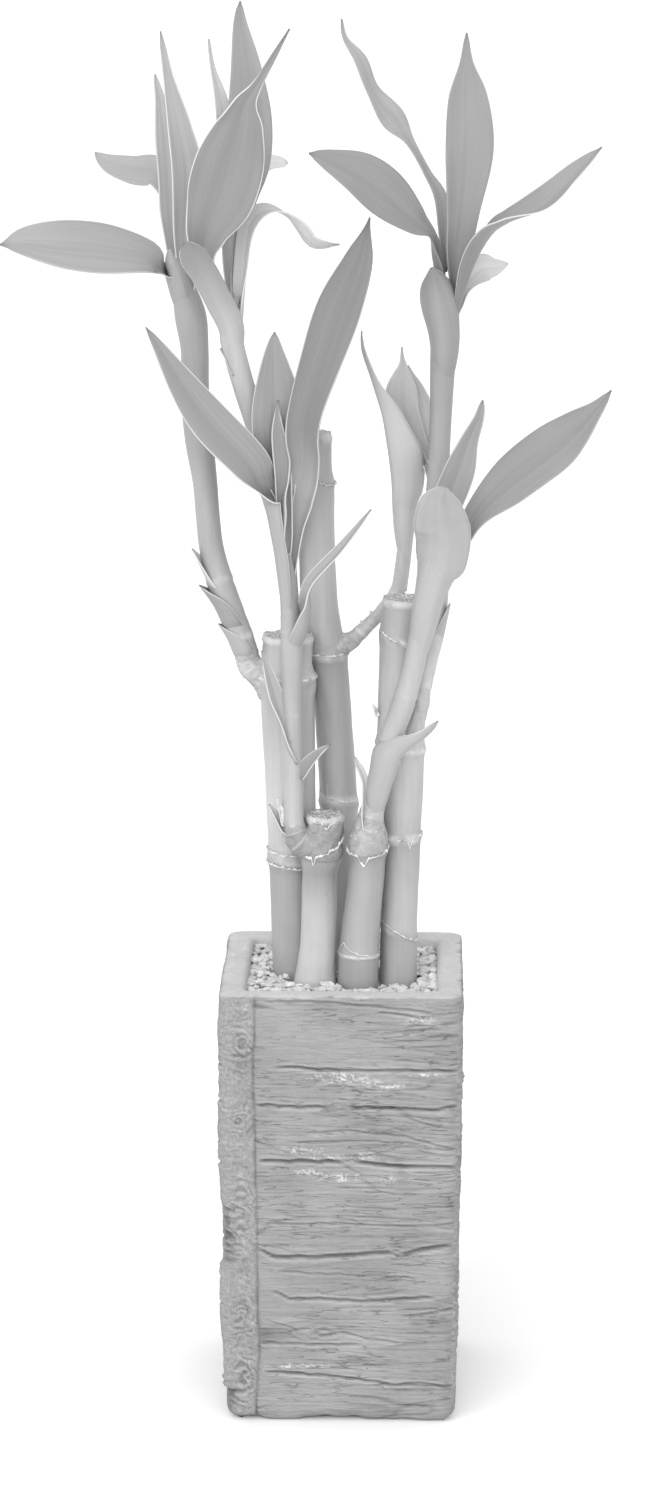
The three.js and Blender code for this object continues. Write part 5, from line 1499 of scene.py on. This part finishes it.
class PLANT_OT_canes(bpy.types.Operator):
    """Adds the five cut canes with their node rings and fibrous tops"""
    bl_idname = "plant.canes"
    bl_label = "Canes"

    def execute(self, context):
        settings = context.scene.canes
        bark, cut = bark_material(settings), cut_material(settings.cut_colour)
        for number, name in enumerate(CANES):
            pieces = [self.cane(name, number, bark, cut)]
            pieces += [self.stump(bark, name, number, rows) for rows in KNUCKLES.get(name, [])]
            finish_piece(join(pieces), name + "_bark", [name])
        return {"FINISHED"}

    @classmethod
    def cane(cls, name, number, bark, cut):
        """Cane from inside the gravel to its top, with its node lines, rough parts and cut."""
        top = CANES[name][-1][2]
        rows = int((top - CANE_FOOT) / CANE_STEP)
        o, share, angle, level = round_bar(CANE_SIDES, rows, 6)
        height = CANE_FOOT + (top - CANE_FOOT) * level
        points, middle = around_cane(name, angle, height), middle_of(name, height)
        crust = crust_at(name, height)
        around = 2.5 * np.cos(angle) + 9, 2.5 * np.sin(angle)
        lumps, scar = cls.node_lines(name, number, around, height)
        lumps += 0.16 * rough(around[0], height / 9 + around[1], 700 + number, 3)
        lumps += 0.42 * crust * rough(2 * around[0], height / 1.8 + 2 * around[1], 710 + number, 3)
        if name in CUT_CANES:
            # torn lip round the cut
            torn = top - height + 0.5 * wobble(*around, 750 + number)
            torn += 0.6 * rough(around[0] * 2.5, around[1] * 2.5, 755 + number, 3)
            lip = 1 - smoothstep(1.1, 2.1, torn)
            scar = np.maximum(scar, 0.5 * lip)
            lumps += 0.3 * lip - 0.15 * bell(torn - 2.3, 0.4) - 0.4 * (1 - smoothstep(0, 0.4, top - height))
        out = points[:, :2] - middle
        points[:, :2] = middle + (out + unit(out) * lumps[:, None]) * share[:, None]
        crown = (share < OUTER_SHARE) & (level > 0.5)
        fibre = 0.5 * rough(points[:, 0] / 0.8, points[:, 1] / 0.8, 740 + number, 3)
        points[crown, 2] += (fibre - 0.55 * (1 - smoothstep(0.7, 0.9, share)))[crown]
        edge = (share > OUTER_SHARE) & (level > 1 - 1.5 / rows)
        points[edge, 2] += 0.5 * wobble(2 * around[0][edge], 2 * around[1][edge], 760 + number)
        set_points(o, points)
        # the bark's lightness by height holds painted light and shade
        keep_values(o, light=from_table(CANE_PAINTED_LIGHT[name], height) / STAGE_GAIN, scar=scar, crust=crust)
        o.data.materials.append(bark)
        o.data.materials.append(cut)
        cap = [int(abs(f.normal.z) > 0.6 and f.center.z > (top - CUT_DEPTH) * MM) for f in o.data.polygons]
        o.data.polygons.foreach_set("material_index", cap)
        return o

    @staticmethod
    def node_lines(name, number, around, height):
        """Height and paleness of the ragged node lines, with a crease above and below each."""
        lumps, scar = np.zeros((2, len(height)))
        round_x, round_y = around
        for z, _, strength in CANE_NODES[name]:
            ragged = 0.2 * wobble(round_x, round_y, 720 + number)
            ragged += 0.12 * wobble(3 * round_x, 3 * round_y, 725 + number)
            away = height - z + ragged
            broken = 0.85 + 0.3 * wobble(2 * round_x, 2 * round_y + z, 730 + number)
            line = bell(away, 0.3)
            scar = np.maximum(scar, strength * broken * line)
            crease = bell(away + 0.75, 0.35) + 0.5 * bell(away - 0.8, 0.4)
            lumps += strength * (0.22 * line - 0.18 * crease)
        return lumps, scar

    @staticmethod
    def stump(bark, name, number, rows):
        """Rough side stump that runs from inside a cane into the foot of a shoot."""
        o = tube(rows, 60, lumps=0.16, seed=10 * number + int(rows[0][2]))
        level = attribute_values(o, "along")
        height = np.clip(points_of(o)[:, 2] / MM, CANE_FOOT, CANES[name][-1][2])
        strength, lines = STUMP_LOOKS.get(name, USUAL_STUMP)
        crust = strength * (1 - smoothstep(0.55, 0.95, level))
        rings = np.sin(level * 30 + 1.5 * wobble(level * 9, level * 0, 780 + number))
        scar = lines * smoothstep(0.86, 1, rings) * crust
        # the stump takes its cane's painted light and shade by height
        keep_values(o, light=from_table(CANE_PAINTED_LIGHT[name], height) / STAGE_GAIN, scar=scar, crust=crust)
        o.data.materials.append(bark)
        return o


def tube(rows, steps, lumps=0.0, seed=0):
    """Round stem through its rows, with flat closed ends; each corner keeps its share along."""
    o, share, angle, level = round_bar(TUBE_SIDES, steps, 2)
    line = along(rows, level)
    way = direction_along(rows, level)
    across = unit(np.cross(np.array([0.0, 1.0, 0.0]), way))
    radius = line[:, 3] * share
    if lumps:
        around = 2.6 * np.cos(angle) + 9, 2.6 * np.sin(angle) + level * 7
        radius = radius * (1 + lumps * rough(*around, 800 + seed, 4))
    points = line[:, :3] + across * (radius * np.cos(angle))[:, None]
    set_points(o, points + np.cross(way, across) * (radius * np.sin(angle))[:, None])
    keep_values(o, along=level)
    return o


# Shoots

LEAF_COLUMNS = 14
ROWS_PER_MM = 0.75
# Curls over which a blade turns from flat to rolled, from leaf to sheath in its lightness, and from free
# to sunk into its stem, and how deep a sheath's foot sinks
FLAT_CURLS = (30, 70)
SHEATH_CURLS = (35, 95)
SUNK_CURLS = (45, 80)
SHEATH_SINK = 1.2
# Half width of a leaf at its very tip
LEAF_TIP = 0.2
STEM_STEP = 0.45
# Rough brown foot of a stem: [strength, share of the stem's length]
STEM_CRUST = {"shoot_behind": (1, 0.5)}
USUAL_CRUST = (0.7, 0.1)


class PLANT_OT_shoots(bpy.types.Operator):
    """Adds the six leafy shoots: stems, sheaths and leaves"""
    bl_idname = "plant.shoots"
    bl_label = "Shoots"

    def execute(self, context):
        settings = context.scene.foliage
        leaf, bark = leaf_material(settings), bpy.data.materials[BARK]
        kind = 0
        for name, shoot in SHOOTS.items():
            low, high = STEM_PAINTED_LIGHTS[name]
            foot, top = shoot["stem"][0][2], shoot["stem"][-1][2]
            pieces = [self.stem(name, bark)]
            for part, stations in (*shoot["leaves"].items(), *shoot["bracts"].items()):
                kind += 1
                light, pale = LEAF_LOOKS[name][part]
                share = min(max((stations[0][2] - foot) / (top - foot), 0), 1)
                # a sheath takes the painted light and shade of its stem at its height
                sheath_light = low + (high - low) * share if part in shoot["leaves"] else light
                pieces.append(self.blade(stations, settings, leaf, light, sheath_light, pale, kind))
            finish_piece(join(pieces), name + "_foliage", [name])
        return {"FINISHED"}

    @staticmethod
    def stem(name, bark):
        """Stem with its thin ring scars."""
        rows = SHOOTS[name]["stem"]
        o = tube(rows, int(length_of(rows) / STEM_STEP))
        level = attribute_values(o, "along")
        points, centre = points_of(o) / MM, along(rows, level)[:, :3]
        scar = np.zeros(len(points))
        for number, (height, strength) in enumerate(STEM_RINGS[name]):
            x, y = (points - centre)[:, :2].T / 1.5
            away = centre[:, 2] - height + 0.3 * wobble(x + 9, y + 9, number)
            scar = np.maximum(scar, 0.6 * strength * bell(away, 0.28))
            points += (points - centre) * (0.05 * bell(away, 0.5) - 0.05 * bell(away + 0.9, 0.4))[:, None]
        set_points(o, points)
        low, high = STEM_PAINTED_LIGHTS[name]
        crust, reach = STEM_CRUST.get(name, USUAL_CRUST)
        # the stem's lightness from foot to top is painted light and shade
        keep_values(o, light=(low + (high - low) * level) / STAGE_GAIN, scar=scar,
                    crust=crust * (1 - smoothstep(0, reach, level)))
        o.data.materials.append(bark)
        return o

    @staticmethod
    def blade_frame(stations, level, turn):
        """Directions across a blade and out of its upper face, square to the way it runs."""
        way = direction_along(stations, level)
        front = np.array([0.0, -1.0, 0.0])
        up = unit(front - way * (way @ front)[:, None])
        turn = np.radians(turn)[:, None]
        up = up * np.cos(turn) + np.cross(way, up) * np.sin(turn)
        return np.cross(way, up), up

    @classmethod
    def blade(cls, stations, settings, material, light, sheath_light, pale, kind):
        """Curved leaf through its stations, wrapped into a sheath where its curl is large."""
        length = length_of(stations)
        o, across, level = strip(LEAF_COLUMNS, max(12, int(length * ROWS_PER_MM)))
        line = along(stations, level)
        side, up = cls.blade_frame(stations, level, line[:, 4])
        curl = line[:, 5]
        bend = np.radians(np.maximum(curl, 2))
        tip = 1 - smoothstep(0.93, 1.0, level)
        half = np.maximum(line[:, 3] * (0.45 + 0.55 * tip), LEAF_TIP)
        # the foot of a sheath sinks into the stem
        sunk = SHEATH_SINK * (1 - smoothstep(0, 0.2, level)) * smoothstep(*SUNK_CURLS, curl)
        radius = np.maximum(half / bend - sunk, 0.3)
        middle = line[:, :3] + up * np.minimum(sunk, half / bend - radius)[:, None]
        # the blade's section: a fold at the midrib, if there is one, and an arc to each side
        fold = line[:, 6] * bend if line.shape[1] > 6 else 0 * bend
        reach = radius * bend / np.maximum(bend - fold, 0.01)
        angle = fold + (bend - fold) * np.abs(across)
        sideways = np.sign(across) * reach * (np.sin(angle) - np.sin(fold))
        flat = 1 - smoothstep(*FLAT_CURLS, curl)
        crease = 0.35 * bell(across, 0.13) * flat * np.minimum(half / 5, 1)
        waves = np.sin(level * length / 3.2 + 2.4 * kind + np.sign(across) * 0.8)
        ripple = 0.06 * half * across**2 * flat * waves
        upwards = reach * (np.cos(fold) - np.cos(angle)) - crease + ripple
        set_points(o, middle + side * sideways[:, None] + up * upwards[:, None])
        # the blade's painted light and shade turns to its sheath's where it wraps
        tone = light + (sheath_light - light) * smoothstep(*SHEATH_CURLS, curl)
        tone = tone * (1 - 0.35 * smoothstep(0.94, 1.0, level))
        pale = pale * smoothstep(0, 0.12, level) * (1 - smoothstep(0.82, 0.94, level))
        keep_values(o, across=across, along=level * length * MM, edge=half * (1 - np.abs(across)) * MM,
                    kind=3.7 * kind, light=tone / STAGE_GAIN, pale=pale)
        o.data.materials.append(material)
        return thicken(o, settings.thickness)


# Dry sheath rests

REST_THICKNESS = 0.2
REST_CELLS = (260, 4)


class PLANT_OT_sheath_rests(bpy.types.Operator):
    """Adds the ragged dry rests of old sheaths round the canes"""
    bl_idname = "plant.sheath_rests"
    bl_label = "Dry sheath rests"

    def execute(self, context):
        material = dry_material(context.scene.canes.scar_colour)
        pieces = [self.rest(number, *row) for number, row in enumerate(SHEATH_RESTS)]
        settings = context.scene.foliage
        for stations in SPIKES:
            pieces.append(PLANT_OT_shoots.blade(stations, settings, material, 0, 0, 0, 0))
        finish_piece(join(pieces), "dry_sheath_rests", [], material)
        return {"FINISHED"}

    @staticmethod
    def rest(number, cane, low, tall, stand_off):
        """Ragged strip round a cane, between two angles."""
        first, last = low[0][0], low[-1][0]
        o, across, level = strip(*REST_CELLS)
        degrees = first + (last - first) * (across + 1) / 2
        ragged = 0.3 * rough(degrees / 8, degrees * 0, 900 + number, 3)
        torn = 0.7 + 0.9 * rough(degrees / 5, degrees * 0, 930 + number, 3)
        height = from_table(low, degrees) + ragged + np.maximum(tall * torn, 0.12) * level
        lift = stand_off * (0.4 + 0.6 * (1 - level)) + 0.12 * rough(degrees / 6, level * 2, 960 + number, 2)
        set_points(o, around_cane(cane, np.radians(degrees), height, lift))
        return thicken(o, REST_THICKNESS * MM)


# Stage

FLOOR_SIZE = 40
# The way that the key light shines
KEY_WAY = (0.15, 0.85, -0.5)
# Camera: degrees round to the right and up from the front, distance and the place that it looks at
CAMERA_AZIMUTH = 1.57
CAMERA_ELEVATION = 13.26
CAMERA_DISTANCE = 1.0794
CAMERA_TARGET = (-0.00549, 0, 0.18014)
SENSOR_WIDTH = 36


class PLANT_OT_stage(bpy.types.Operator):
    """Adds the plain floor, the soft lights and the camera"""
    bl_idname = "plant.stage"
    bl_label = "Stage"

    def execute(self, context):
        settings = context.scene.stage
        scene = context.scene
        scene.view_settings.view_transform = "Standard"
        floor = added(bpy.ops.mesh.primitive_plane_add, size=FLOOR_SIZE)
        floor.name = "floor"
        material, tree = new_material("plain_floor", 0.9, 0.1)
        tree.nodes[SHADER].inputs["Base Color"].default_value = (*settings.floor_colour, 1)
        floor.data.materials.append(material)
        world = bpy.data.worlds.new("room")
        world.use_nodes = True
        background = world.node_tree.nodes["Background"]
        background.inputs["Color"].default_value = (1, 1, 1, 1)
        background.inputs["Strength"].default_value = settings.room_light
        scene.world = world
        bpy.ops.object.light_add(type="SUN", location=(-1, -0.8, 1))
        lamp = context.active_object
        lamp.name = "key"
        lamp.data.energy = settings.key_light
        lamp.data.angle = settings.key_width
        lamp.rotation_euler = Vector(KEY_WAY).to_track_quat("-Z", "Y").to_euler()
        self.camera(context, settings)
        return {"FINISHED"}

    @staticmethod
    def camera(context, settings):
        """Camera at the photograph's angle."""
        azimuth, elevation = math.radians(CAMERA_AZIMUTH), math.radians(CAMERA_ELEVATION)
        back = Vector((math.sin(azimuth) * math.cos(elevation), -math.cos(azimuth) * math.cos(elevation),
                       math.sin(elevation)))
        bpy.ops.object.camera_add(location=Vector(CAMERA_TARGET) + back * CAMERA_DISTANCE)
        camera = context.active_object
        camera.name = "camera"
        camera.rotation_euler = back.to_track_quat("Z", "Y").to_euler()
        camera.data.lens = settings.lens
        camera.data.sensor_width = SENSOR_WIDTH
        camera.data.clip_end = 100
        context.scene.camera = camera


class PLANT_PT_panel(bpy.types.Panel):
    """Settings and steps of the plant"""
    bl_label = "Lucky bamboo"
    bl_idname = "PLANT_PT_panel"
    bl_space_type = "VIEW_3D"
    bl_region_type = "UI"
    bl_category = "Plant"

    def draw(self, context):
        layout = self.layout
        for operator, settings in STEPS:
            box = layout.box()
            box.operator(operator)
            if settings:
                group = getattr(context.scene, settings)
                for key in group.bl_rna.properties.keys():
                    if key not in ("rna_type", "name"):
                        box.prop(group, key)


SETTINGS = {
    "planter": PlanterSettings,
    "gravel": GravelSettings,
    "canes": CaneSettings,
    "foliage": FoliageSettings,
    "stage": StageSettings,
}
OPERATORS = (PLANT_OT_planter, PLANT_OT_gravel, PLANT_OT_canes, PLANT_OT_shoots, PLANT_OT_sheath_rests,
             PLANT_OT_stage)
STEPS = (("plant.planter", "planter"), ("plant.gravel", "gravel"), ("plant.canes", "canes"),
         ("plant.shoots", "foliage"), ("plant.sheath_rests", None), ("plant.stage", "stage"))


def register():
    for kind in (*SETTINGS.values(), *OPERATORS, PLANT_PT_panel):
        bpy.utils.register_class(kind)
    for name, kind in SETTINGS.items():
        setattr(bpy.types.Scene, name, bpy.props.PointerProperty(type=kind))


def unregister():
    for name in SETTINGS:
        delattr(bpy.types.Scene, name)
    for kind in (PLANT_PT_panel, *reversed(OPERATORS), *reversed(SETTINGS.values())):
        bpy.utils.unregister_class(kind)


def main():
    register()
    bpy.ops.plant.planter()
    bpy.ops.plant.gravel()
    bpy.ops.plant.canes()
    bpy.ops.plant.shoots()
    bpy.ops.plant.sheath_rests()
    bpy.ops.plant.stage()


if __name__ == "__main__":
    main()
